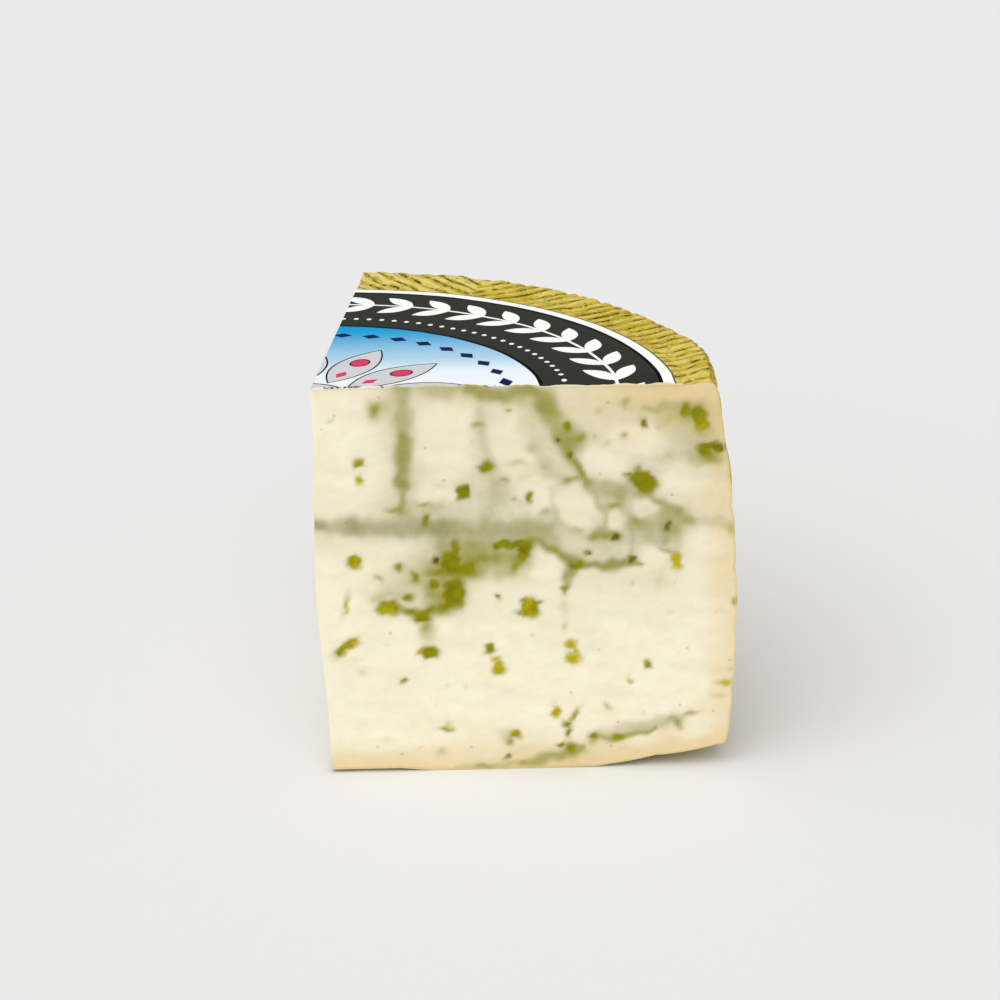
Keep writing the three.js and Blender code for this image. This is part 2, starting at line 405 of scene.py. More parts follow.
    def tip(self, height):
        """How far the tip stands out past the axis."""
        wheel = self.wheel
        share = np.clip((height - wheel.tip_bow_height) / wheel.tip_bow_reach, -1, 1)
        bow = wheel.tip_bow * np.cos(share * math.pi / 2) ** 2
        above = height - wheel.tip_ledge_height
        ledge = smooth(above, LEDGE_START, LEDGE_FULL) * smooth(above, LEDGE_END, 0)
        flare = smooth(wheel.height - height, FLARE_START, FLARE_FULL)
        return bow + wheel.tip_ledge * ledge + wheel.tip_flare * flare

    def bowed(self, x, height):
        """Moves points near the axis out by as much as the tip stands out there."""
        return x - self.tip(height) * np.clip(1 - x / self.wheel.top_radius, 0, 1) ** 2

    def point(self, radial, turn, share):
        """A point from its share of the radius, its angle and its share of the height."""
        wheel = self.wheel
        x, y = radial * np.cos(turn), radial * np.sin(turn)
        foot = self.base_height(wheel.foot_radius * x, wheel.foot_radius * y)
        top = self.top_height(wheel.top_radius * x, wheel.top_radius * y)
        height = foot + (top - foot) * share
        radius = self.side_radius(turn, share * wheel.height)
        return np.stack([self.bowed(radius * x, height), radius * y, height], axis=-1)


# What shows on the cuts. Both cuts are laid out as one sheet in millimetres: u runs from the tip
# along the front cut, and below 0 along the second one, and z is the height above the base.

# Herb pieces of the front cut: u, z, width, height, turn in degrees, shade from 0 light to 1 dark
FRONT_FLECKS = (
    (10.1, 79.6, 2.1, 2, 0, 0.25), (10, 75.3, 1.5, 1.8, 0, 0.1), (39.3, 77.8, 3.2, 2.4, 35, 0.42),
    (33.9, 71.9, 2.8, 3.5, 0, 0.65), (25, 65.2, 1.1, 2.3, -10, 0.6), (8, 55, 3.2, 3.2, 3, 0.3),
    (22, 50.8, 1.7, 2.4, -8, 0.4), (18.3, 53.4, 1.3, 1.3, 30, 0.4), (26.3, 49, 2.5, 2.2, 0, 0.5),
    (20.1, 45.8, 1.7, 1.4, -15, 0.5), (5.6, 44.2, 0.8, 3, -12, 0.1), (3.2, 31.7, 1.6, 1.6, 30, 0.45),
    (4.8, 33, 5.2, 1.9, 40, 0.35), (6.8, 34.5, 2.4, 1.4, 10, 0.15), (24.8, 31.2, 4, 2.8, 0, 0.42),
    (22.5, 31.3, 1.6, 1.6, 0, 0.2), (18.3, 24, 1.6, 1.4, 30, 0.4), (41.2, 45.3, 1.2, 1.2, 0, 0.75),
    (48.7, 42.3, 4.1, 4.6, 4, 0.32), (47.3, 44.5, 1.1, 0.8, 30, 0.5), (50.6, 43.6, 1.4, 1, 30, 0.7),
    (46.7, 41.3, 1.4, 0.9, 30, 0.3), (38.9, 32, 2.2, 2.2, 0, 0.4), (40.4, 29, 1.6, 1.2, 0, 0),
    (40.9, 27.6, 1.9, 2, 0, 0.15), (40.9, 26.3, 2.6, 2.4, 0, 0.25), (27.9, 11, 2.4, 0.9, 0, 0.25),
    (44.4, 9.2, 2.6, 1.9, -15, 0.28), (42.5, 3.2, 0.9, 1.2, -30, 0.8), (57.9, 87.3, 1.6, 2, 0, 0.6),
    (55.8, 84, 1.1, 1.1, 0, 0.85), (58.6, 80.4, 1, 1.2, 0, 0.8), (49, 70.2, 1.5, 2.4, 0, 0.4),
    (75.6, 87.9, 1.2, 1.9, 8, 0.75), (85.1, 90.7, 2, 3.6, 0, 0.42), (87.4, 90.1, 3, 2.2, 0, 0.55),
    (88.5, 88.4, 3.2, 5.4, 18, 0.4), (89.7, 81.4, 3.4, 2.9, 0, 0.55), (92.1, 81.5, 3.2, 2.2, 0, 0.8),
    (90.8, 81.9, 5, 1.8, 0, 0.55), (90.1, 80, 2.2, 1.5, 0, 0.5), (75.4, 73.6, 6.4, 4.7, -42, 0.55),
    (72.2, 75.2, 1.8, 0.9, 0, 0.6), (81, 62.2, 1.3, 2.4, -8, 0.95), (68.9, 59.8, 2.1, 2, 0, 0.85),
    (62.4, 56.1, 1.2, 0.9, 25, 0.9), (72.8, 54.1, 1.8, 1.7, 0, 0.8), (83, 53.6, 2.1, 4.2, 5, 0.1),
    (59.7, 52.9, 2.8, 1.8, 20, 0.6), (56.8, 46.8, 1.1, 1.4, 15, 0.4), (58.2, 32.6, 2.2, 2.2, 0, 0.15),
    (58.6, 28.9, 3.1, 2.5, -20, 0.08), (59, 30.8, 1, 1.4, 0, 0), (76.3, 26.9, 1.6, 1.9, 0, 0.35),
    (72, 22.8, 1, 0.7, -50, 0.2), (54.3, 15, 1.8, 2.3, -10, 0.1), (58.5, 13.8, 0.9, 3, -32, 0.3),
    (57, 11.6, 2, 1.6, 0, 0.5), (57.2, 9.2, 1, 1.9, -5, 0.7), (55.4, 6.2, 1.4, 1.2, 30, 0.6),
    (57.8, 5, 2.2, 2.6, -20, 0.5), (63, 8.3, 1.4, 1.2, -10, 0.6), (69.1, 7.9, 2.8, 1.5, 8, 0.35),
    (96.7, 42.9, 0.9, 1.2, 0, 0.3), (94.9, 21.8, 2, 0.8, 0, 0), (31, 46.6, 5, 7.2, -3, 0.6),
    (29.6, 43.4, 3.6, 1.9, 25, 0.5), (30.4, 54.3, 4.4, 5.4, 0, 0.6), (31.7, 57.8, 1.5, 4.2, 0, 0.6),
    (34.4, 52.5, 3, 3, 0, 0.5), (32.8, 52.6, 3, 3, 0, 0.5), (28.8, 51.9, 5.4, 1, 0, 0.55),
    (43, 58.5, 4.8, 1.6, 0, 0.6), (45, 58.4, 3.4, 1.5, 0, 0.55), (46.9, 58.5, 5, 2.2, 0, 0.65),
    (41.3, 58, 1.8, 1.9, 0, 0.75), (47.8, 57.3, 2.8, 3, -20, 0.7), (46.9, 55.6, 1.8, 2.6, -25, 0.6),
    (15.4, 43.2, 4.8, 3.4, 0, 0.32), (20.4, 41.9, 2.6, 1, -10, 0.4), (23.1, 40.4, 3.7, 2.7, 0, 0.55),
    (24.6, 41.8, 3, 1.3, 15, 0.5), (27.2, 54.8, 1.6, 1.6, 0, 0.95),
)

# Veins: tone from -1 packed with herb over 0 green to 1 grey, strength, and a path of u, z and width
VEINS = (
    (0, 0.58, ((20.9, 98, 4), (20.6, 86, 3.8))),
    (-0.3, 0.85, ((20.6, 85, 3.8), (20.1, 78, 3.6), (19.9, 74.5, 3.4))),
    (-0.1, 0.7, ((19.9, 74.5, 3.4), (19.8, 70, 2.4), (19.5, 67.6, 1.8))),
    (0.1, 0.3, ((19.4, 98, 7), (20, 90, 5.5), (20, 82, 5))),
    (1, 0.62, ((0, 64.2, 3.8), (8, 63.8, 4.8))),
    (1, 0.76, ((8, 63.8, 4.8), (14.5, 63, 5.4), (25, 63.1, 5.2), (29, 62.8, 5))),
    (0.7, 0.72, ((25, 63.6, 4), (34, 62.6, 5.2), (44, 62, 5.4), (51.6, 62.4, 5.4), (53.4, 62.6, 4))),
    (0.8, 0.6, ((27, 63, 3.4), (28.6, 59.4, 4), (31, 56, 3.4))),
    (-0.1, 0.88, ((36, 97, 3), (39, 95.6, 4.4), (44, 95.4, 4.6), (47.4, 95.8, 5), (49.2, 96.2, 4.4))),
    (-0.1, 0.8, ((49.4, 96.8, 4), (52.6, 94.6, 5.2), (54, 91.4, 4.6))),
    (0, 0.68, ((54, 91.4, 4.6), (55.8, 88, 5.6), (57.6, 83.6, 5.2))),
    (0, 0.84, ((57.6, 83.6, 4.6), (58.8, 79.6, 3), (61.4, 76.1, 2.2), (62.4, 74, 2))),
    (0.6, 0.44, ((62.4, 74, 2.4), (66.5, 71.8, 3.6), (70.4, 70.9, 5), (74.5, 70.6, 3.2))),
    (-0.5, 0.6, ((57.6, 82, 1.2), (59.4, 79, 1.4), (61.6, 75.8, 1.8), (63, 73, 1.2))),
    (0.2, 0.75, ((74.5, 71, 2), (77.1, 69.3, 2), (80.2, 67.6, 3.4), (83.5, 65.6, 4), (86, 63.4, 2.6))),
    (0.3, 0.32, ((86, 63.4, 3), (89, 63.2, 2.8), (92.7, 63.4, 2.6), (95.5, 62, 2.4))),
    (-0.35, 0.9, ((49, 59.2, 2.4), (51.5, 58.7, 2.6), (54.8, 56.8, 2.8), (58.6, 54, 2.8), (61, 53, 2.6))),
    (0.1, 0.5, ((49, 60.4, 5), (53, 58.9, 5), (55.4, 57.2, 4))),
    (-0.3, 0.9, ((61, 53, 2.6), (65.2, 52.9, 3), (69.8, 52.5, 2.8), (73, 53.7, 2.4), (74.8, 53.4, 1.2))),
    (-0.2, 0.75, ((59.4, 53.5, 3), (58.4, 51, 3.2), (57.6, 49, 2.6), (56.9, 47, 1.4))),
    (-0.2, 0.5, ((59.6, 53, 2), (58, 50, 2))),
    (0.2, 0.4, ((76, 91.4, 1.8), (81.3, 91.9, 2.2), (84.4, 91.4, 2.2), (88, 91.4, 2))),
    (0.5, 0.3, ((30, 0.4, 1.2), (38, 0.8, 2), (46, 1.4, 2.2))),
    (0, 0.78, ((46, 1.4, 2), (50, 2.2, 2.4), (55, 3.4, 2.6), (58, 4.4, 3.8), (60.6, 5.6, 1.8))),
    (-0.4, 0.6, ((63, 7.4, 1.2), (68.5, 7.8, 1.6))),
    (-0.15, 0.85, ((68.5, 7.8, 1.8), (72.4, 8.5, 1.8), (75, 8.7, 1.8), (78.4, 10.1, 1.3))),
    (0, 0.5, ((81.4, 12.5, 1), (83.2, 11.2, 1.8), (84.5, 10, 0.9))),
    (0.9, 0.34, ((62, 8.5, 2), (70, 10, 3), (77.8, 11.5, 3.4), (82, 12.6, 3.4), (86.5, 13.8, 2.2))),
    (0.6, 0.24, ((50, 96, 4), (49, 88, 5), (51, 82, 4), (54, 76.5, 3.4), (57.5, 73.5, 2.4))),
    (0.6, 0.45, ((62.6, 73.5, 2), (64.8, 69.6, 1.8), (66.4, 65.8, 1.6), (66.6, 62.5, 2), (64, 60.6, 2.4))),
    (0.6, 0.4, ((70.4, 70.9, 3), (69.2, 67.8, 2), (71.6, 64.6, 2), (72.6, 61, 2.4), (73, 55.5, 1.6))),
    (0.4, 0.5, ((80, 66, 3), (82.4, 62.6, 4.6), (80.6, 58.8, 2.4))),
    (0.8, 0.4, ((81, 62, 4), (80, 59.6, 3.4), (76, 61, 5), (73.4, 64, 3))),
    (0.7, 0.2, ((56, 63.5, 3), (58, 61.5, 3), (62, 60.2, 2.4))),
    (0.7, 0.25, ((54, 72, 1.6), (54.6, 67.5, 1.8), (55, 65, 1.6))),
    (0.8, 0.3, ((38, 92, 2), (38.6, 84, 3.4), (42, 74, 5), (40, 67, 5))),
    (1, 0.8, ((0, 64.6, 3.8), (-14, 66.5, 3.4), (-30, 63, 2.8), (-48, 64.5, 2.2),
             (-66, 60, 1.8), (-82, 62, 1))),
    (0, 0.85, ((-20, 98, 4.8), (-27, 85, 3.8), (-37, 73, 2.6), (-51, 62, 2.4), (-60, 48, 2), (-58, 34, 1))),
    (-0.4, 0.6, ((-28, 83, 1.2), (-37, 73, 1.3), (-51, 61.8, 1.4), (-58, 52, 1))),
    (-0.3, 0.8, ((-18, 4, 1.3), (-42, 5.5, 2.2), (-66, 9.5, 1.9), (-86, 17, 1.2))),
    (0.3, 0.7, ((-72, 98, 3.4), (-70, 88, 2.6), (-77, 76, 1.8), (-75, 70, 1.2))),
    (0.6, 0.4, ((-37, 73, 2), (-42, 80, 2.4), (-52, 83, 2), (-60, 78, 1.6), (-70, 80, 1.6))),
    (0.6, 0.35, ((-48, 64.5, 2), (-46, 55, 2.4), (-36, 48, 1.8), (-33, 40, 1.2))),
)

# Smudges of herb juice on the front cut and the second: u, z, width, height, turn, strength
GREEN_SMUDGES = (
    (14.1, 92.4, 3.8, 5, 5, 0.95), (16.6, 93.3, 3.4, 4.5, 0, 0.35), (18.3, 53.4, 2.6, 2.8, 30, 0.8),
    (20.1, 45.8, 3.2, 2, -15, 0.9), (13.4, 50.4, 3, 2, -35, 0.75), (35, 52.3, 6, 5, 0, 0.97),
    (58, 73.9, 3.4, 2.5, 15, 0.95), (60, 74.7, 3.4, 1.6, 15, 0.7), (52.8, 92.4, 5.2, 4.8, -20, 0.97),
    (71.3, 92.7, 2.5, 2.8, 0, 0.65), (83.8, 66, 2.3, 2.6, 0, 0.8), (73.7, 63.6, 2.9, 3.1, 0, 0.75),
    (60.2, 62.2, 2.7, 1.7, 0, 0.6), (64, 60.1, 3.8, 2.6, 0, 0.8), (95.9, 61, 2.6, 3.4, 0, 0.5),
    (92.6, 40.6, 1.9, 0.9, 10, 0.35), (95.6, 25.4, 1.6, 1, 0, 0.4), (91, 78.6, 5, 2.6, 0, 0.6),
    (81, 56, 4, 1.1, -30, 0.6), (28, 42.7, 9, 3, 17, 0.9), (19.6, 42.1, 6.4, 2.4, -10, 0.8),
    (46.8, 54.8, 4.2, 6, -25, 0.85), (45.2, 53.2, 4.4, 3, 20, 0.75), (17.6, 68, 4, 1.7, 15, 0.8),
    (24.8, 69.3, 3.4, 1.4, 0, 0.85), (28.7, 73.5, 4, 1.6, 0, 0.22), (38.5, 88.4, 3.8, 1.7, 0, 0.45),
    (38, 88.6, 1.8, 1.4, 0, 0.7), (36.2, 84.1, 1.8, 1.8, 0, 0.22), (46.9, 78.7, 4.4, 1.5, 0, 0.4),
    (49.8, 82.4, 3, 2.4, 0, 0.4), (53.1, 77.9, 2.2, 1.5, 0, 0.32), (52.9, 66.5, 2.4, 2.2, 0, 0.52),
    (41.7, 73.2, 4.4, 2, 0, 0.22), (59.2, 84.2, 5.6, 7, 0, 0.74), (66, 60.3, 8, 3, 0, 0.3),
    (79, 63.5, 13, 7, 0, 0.42), (65, 73, 9, 4.5, -30, 0.22), (70, 71, 9, 5, 0, 0.28),
    (76.2, 61.8, 4, 4, 0, 0.25), (54.6, 60.4, 5, 3.4, 0, 0.3), (68.3, 67.3, 4.4, 2.6, 0, 0.92),
    (66.8, 60.2, 4.6, 2.8, 0, 0.9), (90.2, 79.6, 7, 4.6, 0, 0.85), (88, 77.2, 2.6, 1.6, 0, 0.3),
    (83, 89.3, 8, 4.4, 0, 0.3), (87.5, 89.6, 9, 8, 0, 0.55), (80.5, 56.4, 4.4, 1.7, -35, 0.4),
    (56.8, 42.4, 2.8, 4.6, 0, 0.35), (57.1, 37.5, 1.8, 3, 0, 0.5), (24.3, 36, 3.6, 8, 0, 0.34),
    (26, 46.5, 7, 8, 0, 0.72), (22, 42, 13, 3.6, -4, 0.5), (27.5, 42.8, 8, 4, 20, 0.75),
    (34, 54.4, 13, 8.5, 0, 0.8), (39.5, 55.2, 13, 7, 4, 0.92), (45.6, 54.4, 8, 8, 20, 0.6),
    (31, 51, 7, 3, 0, 0.7), (31, 46.5, 8, 11, 0, 0.45), (29.4, 52, 9, 3.4, 0, 0.6),
    (29, 58, 6, 7, 0, 0.3), (22, 49.6, 14, 9, 0, 0.52), (17, 46.5, 9, 5, -30, 0.3),
    (12, 45.5, 3, 2, 0, 0.3), (20, 67.4, 6, 5, 0, 0.6), (27, 68, 6, 4, 0, 0.3), (31, 97, 19, 6, 0, 0.62),
    (54, 92, 5, 8, 0, 0.3), (57, 83.5, 5, 8, 20, 0.4), (28.2, 52.6, 5, 8, 0, 0.66),
    (28, 45.4, 5.6, 6, 0, 0.72), (35.6, 58.6, 14, 5, 0, 0.68), (30.6, 50.8, 7, 3, 0, 0.5),
    (24.2, 38.2, 4.4, 5.4, 0, 0.75), (14, 46, 7, 4, 0, 0.35), (43.4, 51.2, 8, 3.4, 10, 0.42),
    (25.2, 53, 6, 5, 0, 0.36), (20.6, 53, 7, 5, 0, 0.2), (82.6, 60.6, 4.4, 5.6, 0, 0.6),
    (16, 43, 8, 5, 0, 0.2), (45.4, 41.5, 2.2, 1.4, 0, 0.5), (8.4, 26.6, 3.6, 1.5, -30, 0.28),
    (6.8, 29.9, 3.2, 1, 0, 0.3), (14.9, 33.1, 2.6, 1.1, 0, 0.18), (28.7, 12.4, 2.8, 1.8, 0, 0.35),
    (13.6, 8.9, 3.6, 2.2, 0, 0.2), (26.6, 4.7, 3.2, 2.4, 0, 0.4), (21.4, 6.3, 2.6, 1.1, 0, 0.22),
    (42, 9.5, 3.4, 4, 0, 0.3), (58.8, 4.6, 8, 4, 8, 0.6), (65.5, 7.4, 7, 2.8, 0, 0.45),
    (48, 1.2, 26, 3.4, 2, 0.14), (83.2, 11.4, 3.8, 2.1, -40, 0.8), (61.1, 84.7, 3, 3, 0, 0.97),
    (86.6, 13.9, 3.8, 1.2, 6, 0.75), (66.7, 16.1, 2.8, 2, -45, 0.7), (43.1, 7.4, 2.4, 3.2, 20, 0.92),
    (36.6, 1.2, 3.8, 1.7, 0, 0.8), (88.6, 85.6, 5, 3, 0, 0.4), (79, 91.2, 8, 3, 0, 0.25),
    (75, 10, 9, 4, 12, 0.4), (82, 11.8, 9, 4, 15, 0.35), (93.2, 18.3, 4.4, 1.8, 0, 0.3),
    (92.6, 21.7, 3.8, 1.5, 0, 0.35), (79.2, 48.9, 2.6, 5.4, 0, 0.2), (64.7, 46.6, 2.2, 2.6, 0, 0.14),
    (80.8, 79.2, 2.2, 1.5, 0, 0.3), (65.4, 90.6, 1.9, 1.9, 0, 0.35), (64.6, 84.9, 1.3, 1.3, 0, 0.55),
    (67.3, 83, 1.5, 1.5, 0, 0.35), (71.1, 84.9, 2.2, 1.8, 0, 0.8), (78.7, 86.4, 2, 1.3, -30, 0.4),
    (4.2, 90, 1.1, 1.1, 0, 0.7), (44.5, 91.7, 1.4, 1.4, 0, 0.85), (43.5, 74.6, 1.8, 1.3, 0, 0.8),
    (45.6, 69.4, 1.3, 1.5, 0, 0.75), (33, 22.9, 0.8, 0.8, 0, 0.5), (32.9, 21.3, 0.8, 0.8, 0, 0.5),
    (28.7, 22.5, 1.2, 1.4, 0, 0.3), (49.1, 35.5, 1.2, 1.2, 0, 0.35), (81.5, 40.2, 1.6, 0.9, -20, 0.35),
    (72.7, 47.8, 1, 1, 0, 0.4), (75, 14.1, 1.2, 1.2, 0, 0.3), (83.6, 29.9, 1.4, 1, 0, 0.2),
    (-30, 76, 16, 9, 20, 0.4), (-52, 57, 13, 8, -30, 0.45), (-60, 9, 24, 4, 8, 0.4),
    (-75, 83, 8, 10, 0, 0.35),
)

# Lumps of curd that stay light between the seams: u, z, width, height, turn
CURDS = (
    (8.5, 80, 15, 24, 0), (30, 84, 14, 20, 0), (45.5, 82, 11, 16, 0), (51, 71, 8, 10, 20),
    (60, 67.5, 9, 12, 40), (69, 64.5, 5, 6, 20), (76, 67.6, 6, 3.4, -15), (66, 78, 12, 8, -15),
    (74, 84, 14, 8, 0), (86, 73, 14, 10, -20), (75.4, 66.4, 5, 3.4, -10), (78, 54.5, 7, 6, 0),
    (91, 57, 12, 7, 0), (12, 58.5, 22, 6, 0), (52, 53, 7, 6, 0), (28, 72, 10, 6, 0),
    (-10, 80, 15, 24, 0), (-40, 90, 20, 12, 0), (-24, 72, 14, 9, 20), (-58, 71, 16, 10, -10),
    (-82, 72, 14, 12, 0), (-36, 56, 16, 10, 0), (-72, 52, 16, 12, 0),
)

# Broad soft washes, by what they add: u, z, width, height, strength
WASHES = {
    "haze": (
        (60, 72, 84, 56, 0.5), (33, 63, 46, 14, 0.35), (76, 64, 26, 16, 0.3), (78, 56, 14, 10, 0.3),
        (67, 57.4, 22, 9, 0.42), (44, 84, 30, 34, 0.2), (22, 78, 26, 44, 0.4), (88, 83, 24, 20, 0.62),
        (72, 63, 12, 8, 0.3), (18, 59, 26, 8, 0.25), (41, 73, 12, 9, 0.25), (80, 96, 16, 10, 0.75),
        (80.2, 95.2, 5, 3.4, 0.6), (82, 90, 22, 13, 0.55), (74, 91, 36, 18, 0.2), (92, 84, 10, 12, 0.3),
        (91.5, 88, 6, 10, 0.8), (8, 60.5, 20, 6, 0.5), (86, 74, 18, 14, 0.3), (52, 4, 44, 12, 0.22),
        (-30, 66, 50, 20, 0.6), (-62, 78, 40, 26, 0.5), (-70, 40, 30, 16, 0.25), (-14, 64, 26, 10, 0.3),
    ),
    "beige": (
        (76, 98, 52, 18, 0.75), (86, 94, 30, 22, 0.7), (6, 99, 24, 8, 0.12), (96, 64, 10, 30, 0.2),
        (64, 2, 58, 14, 0.5), (-70, 98, 50, 12, 0.6),
    ),
}

SECOND_CUT_FLECKS = 78
SECOND_CUT_SEED = 7
SECOND_CUT_SPAN = (-94, -3)  # where its herb pieces lie: u
SECOND_CUT_RISE = (4, 94)  # and z
SECOND_CUT_VEINS = -4  # vein points whose u is below this belong to it
SECOND_CUT_START = -2  # none of its herb pieces is nearer to the tip
GATHERED_SHARE = 0.45  # the share of its herb pieces that gather round its veins
GATHERED_SPREAD = (5, 4)  # how far these stray from the veins
FLECK_WIDTHS = (0.9, 1.1, 5)  # the smallest width, how widely it varies, and the largest
FLECK_SMALLNESS = 1.5  # a lower number gives more of the small ones
FLECK_HEIGHTS = (0.55, 1.5)  # the least and the most height, in widths
FLECK_TURNS = (-60, 60)
FLECK_SHADES = (0.1, 0.95)

FLECK_SQUARENESS = 3.2
FLECK_BEND = (0.26, 2.6, 51)  # how far, over what length and with what seed outlines wobble
VEIN_BEND = (0.4, 5, 71)
WASH_BEND = (1.6, 14, 61)
FLECK_EDGE = 0.75  # the softness of a small piece's edge, which grows with the piece
FLECK_EDGE_GROWTH = 0.1
CURD_SQUARENESS = 2.6
CURD_BORDER = (1.3, 0.6)  # a lump of curd fades in between these shares of its size
CURD_CLEARING = 0.62  # how much of the haze a lump of curd keeps off
VEIN_FALL = 1.1  # a larger number fades veins sooner
VEIN_SQUARENESS = 2.6
SMUDGE_FALL = 1.3
WARM_WAVES = (0.25, 11, 81)  # how much, over what length and with what seed the warm rims vary
SIDE_WARMTH = (0.6, 10)  # how warm the paste is beside the side's rind, and how far in
BASE_WARMTH = (0.85, 8)
FAR = 9.0  # past this many millimetres, the distance to a herb piece no longer matters
NO_VEIN = 1e-6  # keeps the mean tone of the veins defined where there are none


def second_cut_flecks():
    """Herb pieces scattered over the second cut, some of them gathered round its veins."""
    draw = np.random.default_rng(SECOND_CUT_SEED)
    spots = [(u, z) for _, _, path in VEINS for u, z, _ in path if u < SECOND_CUT_VEINS]
    smallest, spread, largest = FLECK_WIDTHS
    flecks = []
    for _ in range(SECOND_CUT_FLECKS):
        if draw.random() < GATHERED_SHARE:
            u, z = spots[draw.integers(len(spots))]
            u += draw.normal(0, GATHERED_SPREAD[0])
            z += draw.normal(0, GATHERED_SPREAD[1])
        else:
            u, z = draw.uniform(*SECOND_CUT_SPAN), draw.uniform(*SECOND_CUT_RISE)
        width = min(smallest + spread * draw.gamma(FLECK_SMALLNESS), largest)
        height = width * draw.uniform(*FLECK_HEIGHTS)
        turn, shade = draw.uniform(*FLECK_TURNS), draw.uniform(*FLECK_SHADES)
        flecks.append((min(u, SECOND_CUT_START), z, width, height, turn, shade))
    return flecks


def bend(cut, amount, wavelength, seed):
    """Moves points about smoothly, so that what is laid out by them looks grown."""
    ways = [ripple(cut, wavelength, seed), ripple(cut, wavelength, seed + 1)]
    return cut + amount * np.stack(ways, axis=1)


def in_spot(cut, u, z, width, height, turn):
    """Where each point lies across and up a turned spot, whose borders are at -1 and 1."""
    sine, cosine = math.sin(math.radians(turn)), math.cos(math.radians(turn))
    away = cut - (u, z)
    return away @ (cosine, sine) / (width / 2), away @ (-sine, cosine) / (height / 2)


def reach_in(cut, spot, squareness):
    """How far out each point lies in a spot with rounded corners: 1 on its border."""
    across, up = np.abs(in_spot(cut, *spot))
    return (across ** squareness + up ** squareness) ** (1 / squareness)


def fleck_field(cut, flecks):
    """How far each point is from the nearest herb piece's edge, below 0 inside, and its shade."""
    bent = bend(cut, *FLECK_BEND)
    nearest = np.full(len(cut), FAR)
    shade = np.zeros(len(cut))
    for u, z, width, height, turn, tone in flecks:
        reach = reach_in(bent, (u, z, width, height, turn), FLECK_SQUARENESS)
        size = min(width, height)
        distance = (reach - 1) * size / 2 / (FLECK_EDGE + FLECK_EDGE_GROWTH * size)
        closer = distance < nearest
        nearest[closer] = distance[closer]
        shade[closer] = tone
    return nearest, shade


def vein_field(cut, path):
    """How much of one vein shows at each point: 1 along its middle, fading softly to both sides."""
    shown = np.zeros(len(cut))
    for (u, z, width), (next_u, next_z, next_width) in zip(path, path[1:]):
        start = np.array([u, z])
        step = np.array([next_u - u, next_z - z])
        along = np.clip((cut - start) @ step / (step @ step), 0, 1)
        away = np.linalg.norm(cut - start - along[:, None] * step, axis=1)
        half = (width + along * (next_width - width)) / 2
        shown = np.maximum(shown, np.exp(-VEIN_FALL * (away / half) ** VEIN_SQUARENESS))
    return shown


def curd_field(cut):
    """1 inside the light lumps of curd and 0 outside, with soft borders."""
    shown = np.zeros(len(cut))
    for spot in CURDS:
        shown = np.maximum(shown, smooth(reach_in(cut, spot, CURD_SQUARENESS), *CURD_BORDER))
    return shown


def smudge_field(cut, smudges):
    """How strong a set of soft smudges is at each point."""
    clear = np.ones(len(cut))
    for *spot, strength in smudges:
        across, up = in_spot(cut, *spot)
        clear *= 1 - strength * np.exp(-SMUDGE_FALL * (across ** 2 + up ** 2))
    return 1 - clear


def wash_field(cut, kind):
    """How strong one kind of wash is at each point."""
    unturned = [(*spot, 0, strength) for *spot, strength in WASHES[kind]]
    return smudge_field(bend(cut, *WASH_BEND), unturned)


def cut_fields(cut, to_side, to_base):
    """Everything that colours and shapes the paste, by attribute name."""
    bent = bend(cut, *VEIN_BEND)
    clear = np.ones(len(cut))
    grey = np.zeros(len(cut))
    weight = np.full(len(cut), NO_VEIN)
    for greyness, strength, path in VEINS:
        shown = strength * vein_field(bent, path)
        clear *= 1 - shown
        grey += greyness * shown
        weight += shown
    fleck, shade = fleck_field(cut, [*FRONT_FLECKS, *second_cut_flecks()])
    waves, wavelength, seed = WARM_WAVES
    wavy = 1 + waves * ripple(cut, wavelength, seed)
    cool = 1 - wash_field(cut, "beige")
    for distance, (warmth, reach) in ((to_side, SIDE_WARMTH), (to_base, BASE_WARMTH)):
        cool *= 1 - warmth * smooth(distance * wavy, reach, 0)
    return {
        "fleck": fleck,
        "shade": shade,
        "vein": 1 - clear,
        "grey": grey / weight,
        "haze": wash_field(cut, "haze") * (1 - CURD_CLEARING * curd_field(bent)),
        "green": smudge_field(bent, GREEN_SMUDGES),
        "warm": 1 - cool,
        "crust": np.minimum(to_side, to_base),
    }


# The mesh of the cheese

STEPS_OUT = 146  # from the tip to the rind
STEPS_UP = 160
STEPS_ROUND = 200
TOP_RING = 0.8  # the top is divided finely from this share of the radius on
BASE_RING = 0.64
PASTE, SIDE_RIND, FLAT_RIND = range(3)
SHARP_FROM = 48  # edges that turn by more degrees than this stay sharp

# The knife's waves: depth, wavelength, stretch along and up, and seed, in millimetres
KNIFE_WAVES = ((0.1, 6, (0.35, 1), 91), (0.07, 3.5, (1, 1), 92), (0.03, 1.6, (1, 1), 93))
VEIN_PRESSED = 0.16  # how far the knife pressed the veins in, in millimetres
FLECK_PRESSED = 0.14
FLECK_PRESSED_BORDER = (0.4, -0.6)  # between these distances from a herb piece's edge
PLAIN_EDGE = 2.5  # towards its edges a cut turns plain from this many millimetres on


class Lattice:
    """Points that patches share along their borders, with the faces between them."""

    def __init__(self):
        self.points = []
        self.count = 0
        self.quads = []
        self.slots = []
        self.polygons = []

    def take(self, shape):
        """Indices for a new block of points."""
        block = np.arange(self.count, self.count + int(np.prod(shape))).reshape(shape)
        self.count += block.size
        return block

    def patch(self, grid, slot):
        """Quads over a grid of indices, which turn outwards where rows run left to right."""
        a, b, c, d = grid[:-1, :-1], grid[1:, :-1], grid[1:, 1:], grid[:-1, 1:]
        quads = np.stack([a, b, c, d], axis=-1).reshape(-1, 4)
        self.quads.append(quads)
        self.slots.append(np.full(len(quads), slot))


